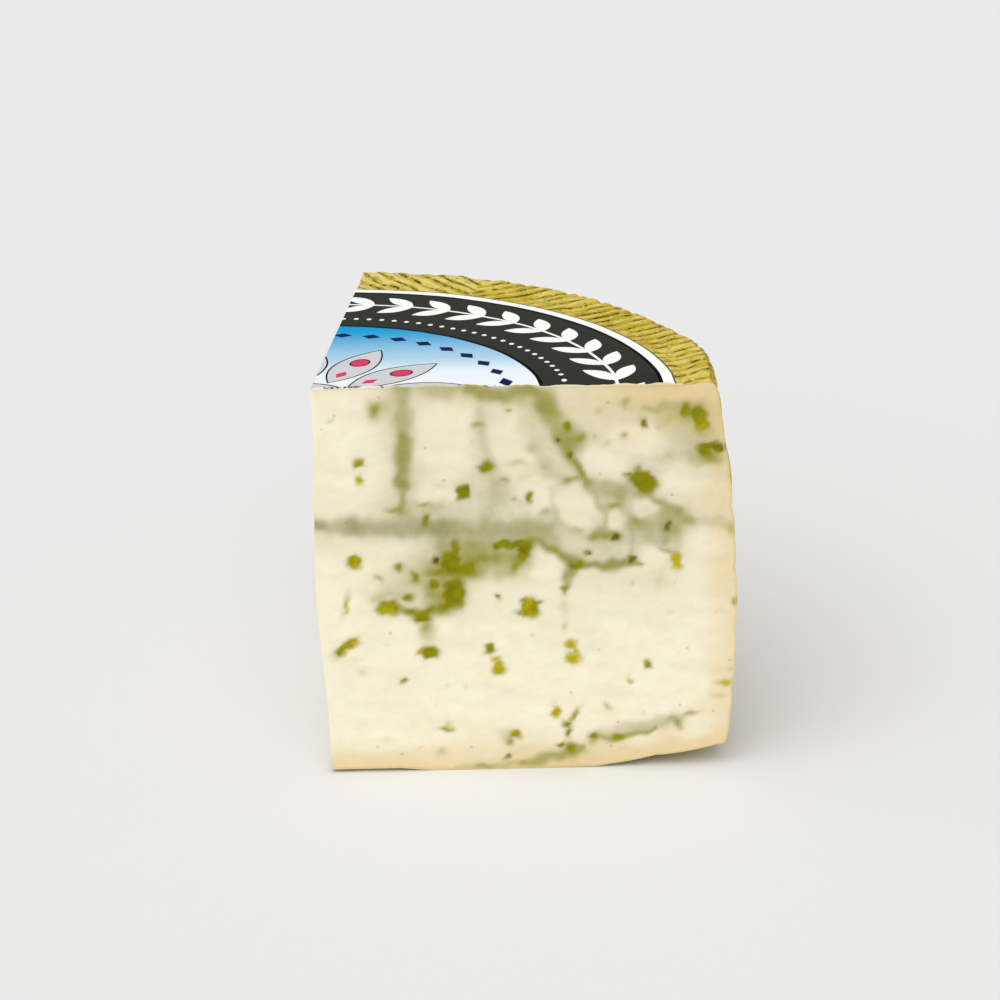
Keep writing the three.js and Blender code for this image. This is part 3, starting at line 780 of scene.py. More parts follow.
def build_cheese(form):
    """The mesh of the wedge and the attributes that its materials read."""
    wheel = form.wheel
    lattice = Lattice()
    outs = np.linspace(0, 1, STEPS_OUT + 1)
    turns = np.linspace(0, wheel.cut_angle, STEPS_ROUND + 1)
    ups = np.linspace(0, 1, STEPS_UP + 1)
    top_from = round(TOP_RING * STEPS_OUT)
    base_from = round(BASE_RING * STEPS_OUT)

    side = lattice.take((STEPS_ROUND + 1, STEPS_UP + 1))
    front = np.concatenate([lattice.take((STEPS_OUT, STEPS_UP + 1)), side[:1]])
    back = np.concatenate([front[:1], lattice.take((STEPS_OUT - 1, STEPS_UP + 1)), side[-1:]])

    def ring(first, row):
        """Indices of a ring of the top or base, whose borders the side and the cuts share."""
        inner = lattice.take((STEPS_OUT - first, STEPS_ROUND - 1))
        middle = np.concatenate([inner, side[1:-1, row][None]])
        ends = front[first:, row][:, None], back[first:, row][:, None]
        return np.concatenate([ends[0], middle, ends[1]], axis=1)

    top = ring(top_from, STEPS_UP)
    base = ring(base_from, 0)

    positions = np.zeros((lattice.count, 3))
    turn_of, up_of = np.meshgrid(turns, ups, indexing="ij")
    positions[side] = form.point(np.ones_like(turn_of), turn_of, up_of)
    out_of, up_of = np.meshgrid(outs, ups, indexing="ij")
    positions[front] = form.point(out_of, np.zeros_like(out_of), up_of)
    positions[back] = form.point(out_of, np.full_like(out_of, wheel.cut_angle), up_of)
    for grid, first, share in ((top, top_from, 1.0), (base, base_from, 0.0)):
        out_of, turn_of = np.meshgrid(outs[first:], turns, indexing="ij")
        positions[grid] = form.point(out_of, turn_of, np.full_like(out_of, share))

    fields = cut_attributes(form, positions, front, back)
    fields.update(rind_attributes(form, positions, side, turns, ups))
    roughen_cuts(form, positions, fields, front, back)

    lattice.patch(side, SIDE_RIND)
    lattice.patch(front, PASTE)
    lattice.patch(back[::-1], PASTE)
    lattice.patch(top, FLAT_RIND)
    lattice.patch(base[::-1], FLAT_RIND)
    loops = [
        [*front[:top_from, -1], *top[0], *back[1:top_from, -1][::-1]],
        [*front[:base_from, 0], *base[0], *back[1:base_from, 0][::-1]][::-1],
    ]
    return positions + np.array(AXIS), lattice, loops, fields


def cut_attributes(form, positions, front, back):
    """The attributes of both cuts, laid out as one sheet."""
    wheel = form.wheel
    both = np.concatenate([front.ravel(), back.ravel()])
    points = positions[both]
    turn = np.concatenate([np.zeros(front.size), np.full(back.size, wheel.cut_angle)])
    away = points[:, 0] * np.cos(turn) + points[:, 1] * np.sin(turn)
    sign = np.where(turn == 0, 1, -1)
    sheet = np.stack([sign * away, points[:, 2]], axis=1) / MM
    rim = np.concatenate([
        np.broadcast_to(np.hypot(*positions[grid[-1], :2].T), grid.shape).ravel()
        for grid in (front, back)])
    foot = np.concatenate([
        np.broadcast_to(positions[grid[:, 0], 2][:, None], grid.shape).ravel()
        for grid in (front, back)])
    values = cut_fields(sheet, (rim - away) / MM, (points[:, 2] - foot) / MM)
    fields = {}
    for name, value in values.items():
        fields[name] = np.zeros(len(positions))
        fields[name][both[::-1]] = value[::-1]
    fields["cut"] = np.zeros((len(positions), 3))
    fields["cut"][both[::-1], :2] = sheet[::-1]
    return fields


def rind_attributes(form, positions, side, turns, ups):
    """Where each point of the rind lies in the weave, in straws across and millimetres along."""
    prints = form.prints
    x, y = positions[:, 0], positions[:, 1]
    fields = {}
    for name, lay in (("first_lay", prints.first_lay), ("second_lay", prints.second_lay)):
        bundles, along = form.flat_fibre(x, y, lay)
        fields[name] = np.stack([bundles * prints.straws, along / MM, np.zeros(len(x))], axis=1)
    fields["turned"] = form.turned(x, y)
    turn_of, up_of = np.meshgrid(turns, ups, indexing="ij")
    lobes, across = form.side_fibre(turn_of, up_of * form.wheel.height)
    heights = up_of * form.wheel.height / MM
    weave = np.stack([lobes * prints.straws, heights, np.zeros_like(lobes)], axis=-1)
    fields["plait"] = np.zeros((len(positions), 3))
    fields["plait"][side] = weave
    fields["joint"] = np.zeros(len(positions))
    fields["joint"][side] = np.abs(2 * across)
    return fields


def roughen_cuts(form, positions, fields, front, back):
    """Presses the knife's waves, the veins and the herb pieces into the two cuts."""
    turn = form.wheel.cut_angle
    for grid, normal in ((front, (0, -1, 0)), (back, (-math.sin(turn), math.cos(turn), 0))):
        inner = grid[1:-1, 1:-1].ravel()
        sheet = fields["cut"][inner, :2]
        edge = np.minimum(np.abs(sheet[:, 0]), fields["crust"][inner])
        edge = np.minimum(edge, form.wheel.height / MM - sheet[:, 1])
        relief = -VEIN_PRESSED * fields["vein"][inner]
        relief -= FLECK_PRESSED * smooth(fields["fleck"][inner], *FLECK_PRESSED_BORDER)
        for depth, wavelength, stretch, seed in KNIFE_WAVES:
            relief += depth * ripple(sheet * stretch, wavelength, seed)
        relief *= smooth(edge, 0, PLAIN_EDGE) * MM
        positions[inner] += relief[:, None] * np.array(normal)


def mesh_object(name, positions, faces, fields=None, slots=None, materials=()):
    """A smooth object from points, faces and attributes."""
    mesh = bpy.data.meshes.new(name)
    mesh.from_pydata(positions.tolist(), [], faces)
    for material in materials:
        mesh.materials.append(material)
    if slots is not None:
        mesh.polygons.foreach_set("material_index", slots)
    for field, values in (fields or {}).items():
        wide = values.ndim == 2
        attribute = mesh.attributes.new(field, "FLOAT_VECTOR" if wide else "FLOAT", "POINT")
        attribute.data.foreach_set("vector" if wide else "value", values.astype(np.float32).ravel())
    mesh.polygons.foreach_set("use_smooth", np.ones(len(mesh.polygons), bool))
    mesh.set_sharp_from_angle(angle=math.radians(SHARP_FROM))
    mesh.update()
    piece = bpy.data.objects.new(name, mesh)
    bpy.context.scene.collection.objects.link(piece)
    return piece


# Shader expressions


class Socket:
    """An output of a node, from which Python expressions make Math nodes."""

    def __init__(self, finish, output):
        self.finish = finish
        self.output = output

    def math(self, operation, *values):
        """A Math node on these values."""
        return self.finish.node("ShaderNodeMath", {"operation": operation}, dict(enumerate(values)))

    def __add__(self, other):
        return self.math("ADD", self, other)

    def __sub__(self, other):
        return self.math("SUBTRACT", self, other)

    def __rsub__(self, other):
        return self.math("SUBTRACT", other, self)

    def __mul__(self, other):
        return self.math("MULTIPLY", self, other)

    def __truediv__(self, other):
        return self.math("DIVIDE", self, other)

    def __pow__(self, other):
        return self.math("POWER", self, other)

    def __abs__(self):
        return self.math("ABSOLUTE", self)

    __radd__ = __add__
    __rmul__ = __mul__


class Finish:
    """A material, and the one way in which nodes are added to it."""

    def __init__(self, name, constants):
        self.material = bpy.data.materials.new(name)
        self.material.use_nodes = True
        self.tree = self.material.node_tree
        self.shader = self.tree.nodes["Principled BSDF"]
        for socket, value in constants.items():
            self.shader.inputs[socket].default_value = value

    def node(self, kind, settings=None, sockets=None, output=0):
        """Adds a node: its settings first, then the values or links of its sockets."""
        made = self.tree.nodes.new(kind)
        for name, value in (settings or {}).items():
            setattr(made, name, value)
        for key, value in (sockets or {}).items():
            if isinstance(value, Socket):
                self.tree.links.new(value.output, made.inputs[key])
            else:
                made.inputs[key].default_value = value
        return Socket(self, made.outputs[output])

    def attribute(self, name, output="Fac"):
        """A mesh attribute."""
        return self.node("ShaderNodeAttribute", {"attribute_name": name}, output=output)

    def split(self, vector):
        """The X and Y of a vector."""
        return [self.node("ShaderNodeSeparateXYZ", None, {0: vector}, axis) for axis in "XY"]

    def noise(self, vector, scale, detail=3.0, stretch=(1, 1, 1)):
        """Noise from 0 to 1 with its middle at 0.5. The scale is in turns for each unit."""
        stretched = self.node(
            "ShaderNodeVectorMath", {"operation": "MULTIPLY"}, {0: vector, 1: stretch})
        return self.node(
            "ShaderNodeTexNoise", None, {"Vector": stretched, "Scale": scale, "Detail": detail})

    def smooth(self, value, low, high):
        """0 at low and 1 at high, with soft ends."""
        settings = {"interpolation_type": "SMOOTHSTEP"}
        if low > high:
            return self.node(
                "ShaderNodeMapRange", settings, {0: value, 1: high, 2: low, 3: 1.0, 4: 0.0})
        return self.node("ShaderNodeMapRange", settings, {0: value, 1: low, 2: high})

    def mix(self, share, first, second):
        """The first colour at 0 and the second at 1."""
        sockets = {"Factor": share}
        for key, value in ((6, first), (7, second)):
            sockets[key] = value if isinstance(value, Socket) else (*value, 1)
        return self.node("ShaderNodeMix", {"data_type": "RGBA"}, sockets, 2)

    def largest(self, first, second):
        """The larger of two values."""
        return self.node("ShaderNodeMath", {"operation": "MAXIMUM"}, {0: first, 1: second})

    def wire(self, **sockets):
        """Links values that vary over the surface to the shader."""
        for name, value in sockets.items():
            self.tree.links.new(value.output, self.shader.inputs[name.replace("_", " ").title()])
        return self.material

    def bump(self, height, distance, strength=1.0):
        """A bump whose height is given in millimetres."""
        sockets = {"Strength": strength, "Distance": distance * MM, "Height": height}
        return self.node("ShaderNodeBump", None, sockets)


def paste_finish(colours):
    """Ivory paste with clouds, veins and herb pieces."""
    finish = Finish("paste", {
        "Subsurface Weight": 0.25,
        "Subsurface Scale": 0.0016,
        "Subsurface Radius": (1.0, 0.75, 0.45),
        "Specular IOR Level": 0.1,
    })
    cut = finish.attribute("cut", "Vector")
    broad = finish.noise(cut, 0.07, 2.0)
    curd = finish.noise(cut, 0.32, 4.0)
    fine = finish.noise(cut, 1.3, 4.0)
    grain = finish.noise(cut, 4.5, 2.0)

    clouds = finish.smooth(broad * 0.6 + curd * 0.4, 0.35, 0.66)
    colour = finish.mix(clouds, colours.cream, colours.ivory)
    colour = finish.mix(finish.attribute("haze") * (0.5 + curd), colour, colours.haze)
    colour = finish.mix(finish.attribute("warm") * (0.75 + curd * 0.5), colour, colours.beige)
    mottle = 0.8 + curd * 0.3 + fine * 0.1
    green = finish.attribute("green") * mottle
    juice = finish.mix(finish.smooth(green, 0.6, 1.05) * 0.6, colours.juice, colours.herb)
    colour = finish.mix(green, colour, juice)

    tone = finish.attribute("grey")
    vein_colour = finish.mix(tone, colours.vein_green, colours.vein_grey)
    vein_colour = finish.mix(0.0 - tone, vein_colour, colours.vein_dark)
    vein_colour = finish.mix(finish.smooth(fine, 0.5, 0.8) * 0.25, vein_colour, colours.herb)
    vein = finish.attribute("vein") * mottle
    colour = finish.mix(vein, colour, vein_colour)

    edge = finish.attribute("fleck") + (fine - 0.5) * 0.5 + (curd - 0.5) * 0.6
    halo = finish.smooth(edge, 1.3, 0.0) * 0.28
    colour = finish.mix(halo, colour, colours.vein_green)
    tone = finish.attribute("shade") + (curd - 0.5) * 0.8 + (fine - 0.5) * 0.2
    herb = finish.mix(finish.smooth(tone, 0.0, 0.5), colours.herb_light, colours.herb)
    herb = finish.mix(finish.smooth(tone, 0.5, 1.0), herb, colours.herb_dark)
    colour = finish.mix(finish.smooth(edge, 0.6, -0.5), colour, herb)

    specks = finish.node(
        "ShaderNodeTexVoronoi", None, {"Vector": cut, "Scale": 0.17, "Randomness": 1.0})
    speck = finish.smooth(specks + (grain - 0.5) * 0.06, 0.1, 0.05) * 0.3
    colour = finish.mix(speck, colour, colours.herb)

    dry = finish.smooth(finish.attribute("crust") + (fine - 0.5) * 0.7, 0.9, 0.1)
    colour = finish.mix(dry * 0.4, colour, colours.crust)

    bump = finish.bump(curd * 0.5 + fine * 0.35 + grain * 0.15, 0.22, 0.7)
    return finish.wire(
        base_color=colour, roughness=0.56 - vein * 0.08 + (fine - 0.5) * 0.16, normal=bump)


def straw_masks(finish, weave):
    """How high a point lies on its straw, how dark the groove beside it is, and fine fibres."""
    across, along = finish.split(weave)
    bent = across + (finish.noise(weave, 0.5, 2.0, (1, 0.16, 1)) - 0.5) * 0.9
    back = abs((bent * math.pi).math("SINE", bent * math.pi))
    worn = finish.noise(weave, 1.0, 3.0, (0.9, 0.3, 1))
    broken = finish.smooth(worn, 0.38, 0.54)
    groove = finish.smooth(back, 0.5, 0.08) * (0.12 + broken * 0.88)
    fibres = finish.noise(weave, 1.0, 3.0, (4.2, 0.3, 1))
    return back, groove, fibres


def rind_finish(name, colours, weaves):
    """Olive rind: straws with dark grooves and painted highlights, from one weave or from two that share
    the surface.
    """
    finish = Finish(name, {
        "Subsurface Weight": 0.08,
        "Subsurface Scale": 0.001,
        "Specular IOR Level": 0.04,
    })
    masks = [straw_masks(finish, finish.attribute(weave, "Vector")) for weave in weaves]
    back, groove, fibres = masks[0]
    dry = 0.0
    if len(masks) > 1:
        turned = finish.attribute("turned")
        dry = turned * 0.14
        back, groove, fibres = (
            first + (second - first) * turned for first, second in zip(*masks))
    place = finish.node("ShaderNodeTexCoord", output="Object")
    stain = finish.noise(place, 75.0, 4.0)
    mottle = finish.noise(place, 420.0, 4.0)
    pits = finish.node("ShaderNodeTexVoronoi", None, {"Vector": place, "Scale": 480.0})
    glint = finish.noise(place, 900.0, 2.0)

    colour = finish.mix(finish.smooth(stain, 0.36, 0.66), colours.land_deep, colours.land)
    # Worn and dry places, together with a painted highlight that favours the straws' backs.
    pale = finish.smooth(back * 0.5 + mottle * 0.7 + fibres * 0.3 + dry, 0.78, 1.12)
    colour = finish.mix(pale, colour, colours.land_pale_and_highlight)
    colour = finish.mix(finish.smooth(fibres, 0.5, 0.3) * 0.5, colour, colours.groove)
    if name == "side_rind":
        joint = finish.smooth(finish.attribute("joint"), 0.8, 1.0)
        groove = finish.largest(groove, joint * (0.45 + mottle * 0.5))
    colour = finish.mix(groove * 0.9, colour, colours.groove)
    deep = finish.smooth(groove + (mottle - 0.5) * 0.9, 0.75, 1.15)
    colour = finish.mix(deep, colour, colours.groove_deep)
    pit = finish.smooth(pits, 0.22, 0.08) * 0.75
    colour = finish.mix(pit, colour, colours.groove)
    # Painted glints: small pale specks that stand in for highlights.
    colour = finish.mix(finish.smooth(glint, 0.58, 0.7) * 0.8, colour, colours.land_pale_and_highlight)

    height = back * 0.45 + fibres * 0.2 + mottle * 0.25 - groove * 0.35 - pit * 0.2
    return finish.wire(
        base_color=colour, roughness=0.5 + groove * 0.22 + (mottle - 0.5) * 0.2,
        normal=finish.bump(height, 0.4, 0.8))


# The printed motifs, in millimetres
MIST_FADE = (16.0, 30.0)  # how far behind the label's centre the disc turns from mist to pale,
PALE_FADE = (26.0, 52.0)  # and from pale to sky
LEAF_OUT = 3.1  # from the stem to the middle of a leaf
LEAF_LEAN = math.radians(38)
LEAF_HALVES = (4.9, 1.95)  # half the length and half the width
STEM_HALF = 0.4
BEAD_RADIUS = 0.62
LOZENGE = (1.5, 0.9, 0.62)  # its size, and how steeply it narrows outwards and sideways
PETAL_HALVES = (13.0, 5.0)
PETAL_LINE = 0.45
DOT_OUT = 2.5  # how far outside the middle of its petal a dot lies
DOT_SQUASH = 0.8  # below 1 the dots are longer outwards than sideways
DOT_RADIUS = 2.3
DOT_LINE = 0.35
DROP_IN = 6.5  # how far inside the middle of its petal a drop lies
DROP = (1.0, 0.42, 0.75)  # the same three as for a lozenge
CORE_RADIUS = 12.4
CORE_LINE = 0.5


def leaf_mask(along, across, half_length, half_width):
    """How deep inside a pointed leaf a point lies, in millimetres, below 0 outside."""
    share = along / half_length
    return (1 - share * share) * half_width - abs(across)


def inside(finish, depth, soft=0.07):
    """1 inside a printed shape and 0 outside."""
    return finish.smooth(depth, -soft, soft)


def label_finish(sizes, colours):
    """The printed paper, worked out in millimetres from the label's centre."""
    finish = Finish("printed_paper", {"Specular IOR Level": 0.01})
    place = finish.attribute("print_place", "Vector")
    x, y = finish.split(place)
    radius = (x * x + y * y) ** 0.5
    turn = y.math("ARCTAN2", y, x)

    def within(limit):
        """1 within a circle round the centre."""
        return inside(finish, limit / MM - radius)

    def around(count, at_radius=None):
        """How far a point is from its motif's middle, of a number of motifs round the centre."""
        cell = turn * (count / TAU)
        local = (cell.math("FRACT", cell) - 0.5) * (TAU / count)
        return local * (at_radius / MM) if at_radius else local * radius

    def lozenge_mask(out, aside, size, out_slope, aside_slope):
        """How deep inside a lozenge a point lies, below 0 outside."""
        return size - abs(out) * out_slope - abs(aside) * aside_slope

    colour = finish.mix(within(sizes.radius - sizes.hairline), colours.edge, colours.white)
    colour = finish.mix(within(sizes.border), colour, colours.black)
    colour = finish.mix(within(sizes.border - sizes.keyline), colour, colours.charcoal)
    colour = finish.mix(within(sizes.disc + sizes.keyline), colour, colours.black)
    sky = finish.mix(finish.smooth(y, *MIST_FADE), colours.mist, colours.pale)
    sky = finish.mix(finish.smooth(y, *PALE_FADE), sky, colours.sky)
    colour = finish.mix(within(sizes.disc), colour, sky)

    along = around(sizes.wreath_leaves, sizes.wreath)
    from_stem = abs(radius - sizes.wreath / MM)
    out = from_stem - LEAF_OUT
    leaf_along = along * math.cos(LEAF_LEAN) + out * math.sin(LEAF_LEAN)
    leaf_across = out * math.cos(LEAF_LEAN) - along * math.sin(LEAF_LEAN)
    leaf = leaf_mask(leaf_along, leaf_across, *LEAF_HALVES)
    stem = STEM_HALF - from_stem
    colour = finish.mix(inside(finish, finish.largest(leaf, stem)), colour, colours.white)
    bead = ((around(sizes.bead_count) ** 2.0) + (radius - sizes.beads / MM) ** 2.0) ** 0.5
    colour = finish.mix(inside(finish, BEAD_RADIUS - bead), colour, colours.white)

    lozenge = lozenge_mask(radius - sizes.chain / MM, around(sizes.chain_count), *LOZENGE)
    colour = finish.mix(inside(finish, lozenge), colour, colours.navy)

    reach = radius - sizes.rosette / MM
    aside = around(sizes.petals)
    petal = leaf_mask(reach, aside, *PETAL_HALVES)
    colour = finish.mix(inside(finish, petal), colour, colours.black)
    colour = finish.mix(inside(finish, petal - PETAL_LINE), colour, colours.petal)
    dot = (((reach - DOT_OUT) * DOT_SQUASH) ** 2.0 + aside ** 2.0) ** 0.5
    colour = finish.mix(inside(finish, DOT_RADIUS - dot), colour, colours.black)
    colour = finish.mix(inside(finish, DOT_RADIUS - DOT_LINE - dot), colour, colours.crimson)
    drop = lozenge_mask(reach + DROP_IN, aside, *DROP)
    colour = finish.mix(inside(finish, drop), colour, colours.crimson)
    core = CORE_RADIUS - radius
    colour = finish.mix(inside(finish, core), colour, colours.black)
    colour = finish.mix(inside(finish, core - CORE_LINE), colour, colours.petal)

    upward = finish.node("ShaderNodeSeparateXYZ", None, {
        0: finish.node("ShaderNodeNewGeometry", output="True Normal")}, "Z")
    colour = finish.mix(finish.smooth(upward, 0.5, 0.2), colour, colours.white)
    fibre = finish.noise(place, 1.4, 4.0)
    tooth = finish.noise(place, 7.0, 2.0)
    return finish.wire(
        base_color=colour, roughness=0.46 + (fibre - 0.5) * 0.2,
        normal=finish.bump(fibre * 0.6 + tooth * 0.4, 0.05, 0.6))


# The label's mesh

LABEL_OUT = 96  # steps from the tip to the round edge
LABEL_ROUND = 150
COCKLES = ((0.6, 26, 101), (0.3, 9, 102))  # share of the cockle, wavelength in millimetres, seed
COCKLE_MEAN = 1.2


def build_label(form):
    """The paper: a thin slab with two straight sides along the cuts and a round edge."""
    label, wheel = form.label, form.wheel
    corner = np.array([label.inset / math.tan(wheel.cut_angle / 2), label.inset])
    centre = np.array([label.centre_x, label.centre_y])
    turns = np.linspace(0, wheel.cut_angle, LABEL_ROUND + 1)
    ways = np.stack([np.cos(turns), np.sin(turns)], axis=1)
    start = corner - centre
    along = ways @ start
    reach = np.sqrt(along ** 2 - start @ start + label.radius ** 2) - along
    outs = np.linspace(0, 1, LABEL_OUT + 1)
    flat = corner + outs[:, None, None] * (reach[:, None] * ways)[None]
    sheet = flat.reshape(-1, 2)
    waves = [share * ripple(sheet / MM, wavelength, seed) for share, wavelength, seed in COCKLES]
    lift = label.cockle * np.clip(sum(waves) + COCKLE_MEAN, 0, None)
    lower = np.column_stack([sheet, np.full(len(sheet), label_low.z)])
    positions = np.concatenate([lower, np.column_stack([sheet, label_high.z + lift])])
    grid = np.arange(len(sheet)).reshape(LABEL_OUT + 1, LABEL_ROUND + 1)
    grid[0] = grid[0, 0]
    lattice = Lattice()
    upper = grid + len(sheet)
    lattice.patch(upper, 0)
    lattice.patch(grid[::-1], 0)
    edge = [*grid[:, 0], *grid[-1, 1:], *grid[1:-1, -1][::-1]]
    around = np.array([*edge, edge[0]])
    lattice.patch(np.stack([around, around + len(sheet)], axis=1), 0)
    place = np.zeros_like(positions)
    place[:, :2] = (positions[:, :2] - centre) / MM
    positions[:, 2] -= form.sag(positions[:, 0], positions[:, 1])
    positions[:, 0] = form.bowed(positions[:, 0], wheel.height)
    return positions + np.array(AXIS), lattice, {"print_place": place}


def faces_of(lattice, loops=()):
    """The faces as lists of indices, where a quad that has two corners in one is a triangle."""
    faces, slots = [], []
    for quad, slot in zip(np.concatenate(lattice.quads).tolist(), np.concatenate(lattice.slots)):
        corners = list(dict.fromkeys(quad))
        if len(corners) > 2:
            faces.append(corners)
            slots.append(slot)
    faces += [[int(index) for index in loop] for loop in loops]
    return faces, slots + [FLAT_RIND] * len(loops)


def drop_loose_points(piece):
    """Removes points that no face uses."""
    shape = bmesh.new()
    shape.from_mesh(piece.data)
    loose = [vertex for vertex in shape.verts if not vertex.link_faces]
    bmesh.ops.delete(shape, geom=loose, context="VERTS")
    shape.to_mesh(piece.data)
    shape.free()


# The torn upper edge of the front cut

TORN_SEED = 23
PASTE_CRUMBS = 12
BROWN_CRUMBS = 26
PASTE_START = 1 * MM  # the paste's crumbs lie from here on along the edge
BROWN_SPAN = (2.5 * MM, 17 * MM)  # and the brown ones in this stretch of it
CRUMB_RADII = ((0.14, 0.28), (0.1, 0.2))  # of paste crumbs and of brown ones, in millimetres
CRUMB_STRETCHES = ((1.4, 1, 0.6), (2.4, 0.9, 0.8))
CRUMB_VARIES = (0.8, 1.3)  # the least and the most of those stretches
CRUMB_UNEVEN = (0.2, 1.3)  # how far a crumb's skin goes in and out, and over what length
CRUMB_SPREAD = 0.5  # how far a crumb is turned, in radians
CRUMB_INWARDS = (0, 0.5)  # how far behind the cut a crumb lies, in millimetres
CRUMB_ABOVE = (0.3, 0.5)

LIP_STEPS = 420
LIP_SIDES = 9
LIP_START = 0.2 * MM
LIP_PAST_LABEL = 1.5 * MM  # how far past the label's end the lip goes on
LIP_LUMPS = ((0.16, 11, 111), (0.04, 3.5, 112))  # height, wavelength and seed, in millimetres
LIP_SWELL = 0.16  # the lumps' mean height, in millimetres
LIP_SWELLS = (0.02, 0.6)  # their least and most
LIP_FADE = 2 * MM  # towards the tip the lumps fade out from here on
LIP_HEIGHT = 0.26  # the lip's least height, in millimetres
LIP_DEPTH = 0.4 * MM  # its depth less half its height
LIP_UNDER = 0.3 * MM  # how far the lip reaches into the paste
LIP_MIDDLE = 0.44  # how far behind the front cut its middle lies, as a share of its depth
PASTE_TONE = 0.5  # the lip takes its colours from this many millimetres below the top


def build_lip(form, end):
    """A low uneven lip of paste that the knife left against the label's front edge."""
    height = form.wheel.height
    u = np.linspace(LIP_START, end, LIP_STEPS)
    line = u[:, None] / MM
    lumps = [share * ripple(line, wavelength, seed) for share, wavelength, seed in LIP_LUMPS]
    swell = np.clip(LIP_SWELL + sum(lumps), *LIP_SWELLS) * smooth(u, 0, LIP_FADE)
    size = (swell + LIP_HEIGHT)[:, None] * MM
    turns = np.linspace(0, TAU, LIP_SIDES, endpoint=False)
    depth = (LIP_DEPTH + size / 2) * (LIP_MIDDLE + np.cos(turns) / 2)
    rise = np.sin(turns) * np.where(np.sin(turns) > 0, size, LIP_UNDER)
    along = np.broadcast_to(u[:, None], depth.shape)
    rise = height + rise - form.sag(along, depth)
    points = np.stack([along, depth, rise], axis=-1).reshape(-1, 3)
    rows = np.arange(LIP_STEPS * LIP_SIDES).reshape(LIP_STEPS, LIP_SIDES)
    around = np.concatenate([rows, rows[:, :1]], axis=1)
    lattice = Lattice()
    lattice.patch(around[::-1], 0)
    faces, _ = faces_of(lattice)
    return points, [*faces, rows[0].tolist()[::-1], rows[-1].tolist()]


def crumb_points(draw, radius, place, stretch):
    """The points and faces of one uneven lump."""
    shape = bmesh.new()
    bmesh.ops.create_icosphere(shape, subdivisions=2, radius=1)
    points = np.array([vertex.co for vertex in shape.verts])
    faces = [[vertex.index for vertex in face.verts] for face in shape.faces]
    shape.free()
    amount, wavelength = CRUMB_UNEVEN
    points *= (1 + amount * ripple(points, wavelength, int(draw.integers(1 << 30))))[:, None]
    spin = np.array(Matrix.Rotation(draw.normal(0, CRUMB_SPREAD), 3, "Z"))
    return (points * stretch * radius) @ spin.T + place, faces


def build_torn_edge(form):
    """The lip, with crumbs of paste and shreds of dry brown rind on it."""
    draw = np.random.default_rng(TORN_SEED)
    label, top = form.label, form.wheel.height
    end = math.sqrt(label.radius ** 2 - label.centre_y ** 2) + label.centre_x
    parts = [(*build_lip(form, end + LIP_PAST_LABEL), 0)]
    for number in range(PASTE_CRUMBS + BROWN_CRUMBS):
        brown = number >= PASTE_CRUMBS
        u = draw.uniform(*BROWN_SPAN) if brown else draw.uniform(PASTE_START, end)
        radius = draw.uniform(*CRUMB_RADII[brown]) * MM
        stretch = draw.uniform(*CRUMB_VARIES, 3) * CRUMB_STRETCHES[brown]
        inwards, above = draw.uniform(*CRUMB_INWARDS) * MM, draw.uniform(*CRUMB_ABOVE) * MM
        place = np.array([u, inwards, top + above - form.sag(u, 0)])
        parts.append((*crumb_points(draw, radius, place, stretch), int(brown)))
    positions, faces, slots, count = [], [], [], 0
    for points, polygons, slot in parts:
        positions.append(points)
        faces += [[index + count for index in polygon] for polygon in polygons]
        slots += [slot] * len(polygons)
        count += len(points)
    positions = np.concatenate(positions)
    heights = top / MM - PASTE_TONE + positions[:, 1] / MM
    sheet = np.column_stack([positions[:, 0] / MM, heights])
    clear = np.full(count, 2 * FAR)
    fields = cut_fields(sheet, clear, clear)
    fields["cut"] = np.column_stack([sheet, np.zeros(count)])
    positions[:, 0] = form.bowed(positions[:, 0], top)
    return positions + np.array(AXIS), faces, fields, slots


def shred_finish(colours):
    """Brown bits of dried rind and torn paper."""
    finish = Finish("brown_shreds", {"Specular IOR Level": 0.2})
    place = finish.node("ShaderNodeTexCoord", output="Object")
    mottle = finish.noise(place, 1800.0, 3.0)
    colour = finish.mix(finish.smooth(mottle, 0.35, 0.65), colours.shred, colours.shred_pale)
    return finish.wire(
        base_color=colour, roughness=0.65 + (mottle - 0.5) * 0.2, normal=finish.bump(mottle, 0.1))


# Operators


def form_of(context):
    """The form with the sizes that the scene holds."""
    scene = context.scene
    return Form(scene.cheese_wheel, scene.cheese_print, scene.cheese_label)


def place_piece(piece, slot, *nodes):
    """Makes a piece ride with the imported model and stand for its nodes."""
    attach(piece, BODY)
    if nodes:
        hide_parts(*nodes)


class OBJECT_OT_cheese_wedge(Operator):
    """Builds the paste and the rind as one closed mesh"""

    bl_idname = "object.cheese_wedge"
    bl_label = "Cheese"

    def execute(self, context):
        scene = context.scene
        positions, lattice, loops, fields = build_cheese(form_of(context))
        faces, slots = faces_of(lattice, loops)
        materials = [
            paste_finish(scene.paste_colours),
            rind_finish("side_rind", scene.rind_colours, ["plait"]),
            rind_finish("flat_rind", scene.rind_colours, ["first_lay", "second_lay"]),
        ]
        piece = mesh_object("cheese_wedge", positions, faces, fields, slots, materials)
        place_piece(piece, "cheese", "cheese")
        return {"FINISHED"}


class OBJECT_OT_cheese_label(Operator):
    """Builds the cut piece of the round paper label"""

    bl_idname = "object.cheese_label"
    bl_label = "Label"

    def execute(self, context):
        scene = context.scene
        positions, lattice, fields = build_label(form_of(context))
        faces, _ = faces_of(lattice)
        finish = label_finish(scene.cheese_label, scene.label_colours)
        piece = mesh_object("paper_label", positions, faces, fields, None, [finish])
        drop_loose_points(piece)
        place_piece(piece, "label", "label")
        return {"FINISHED"}


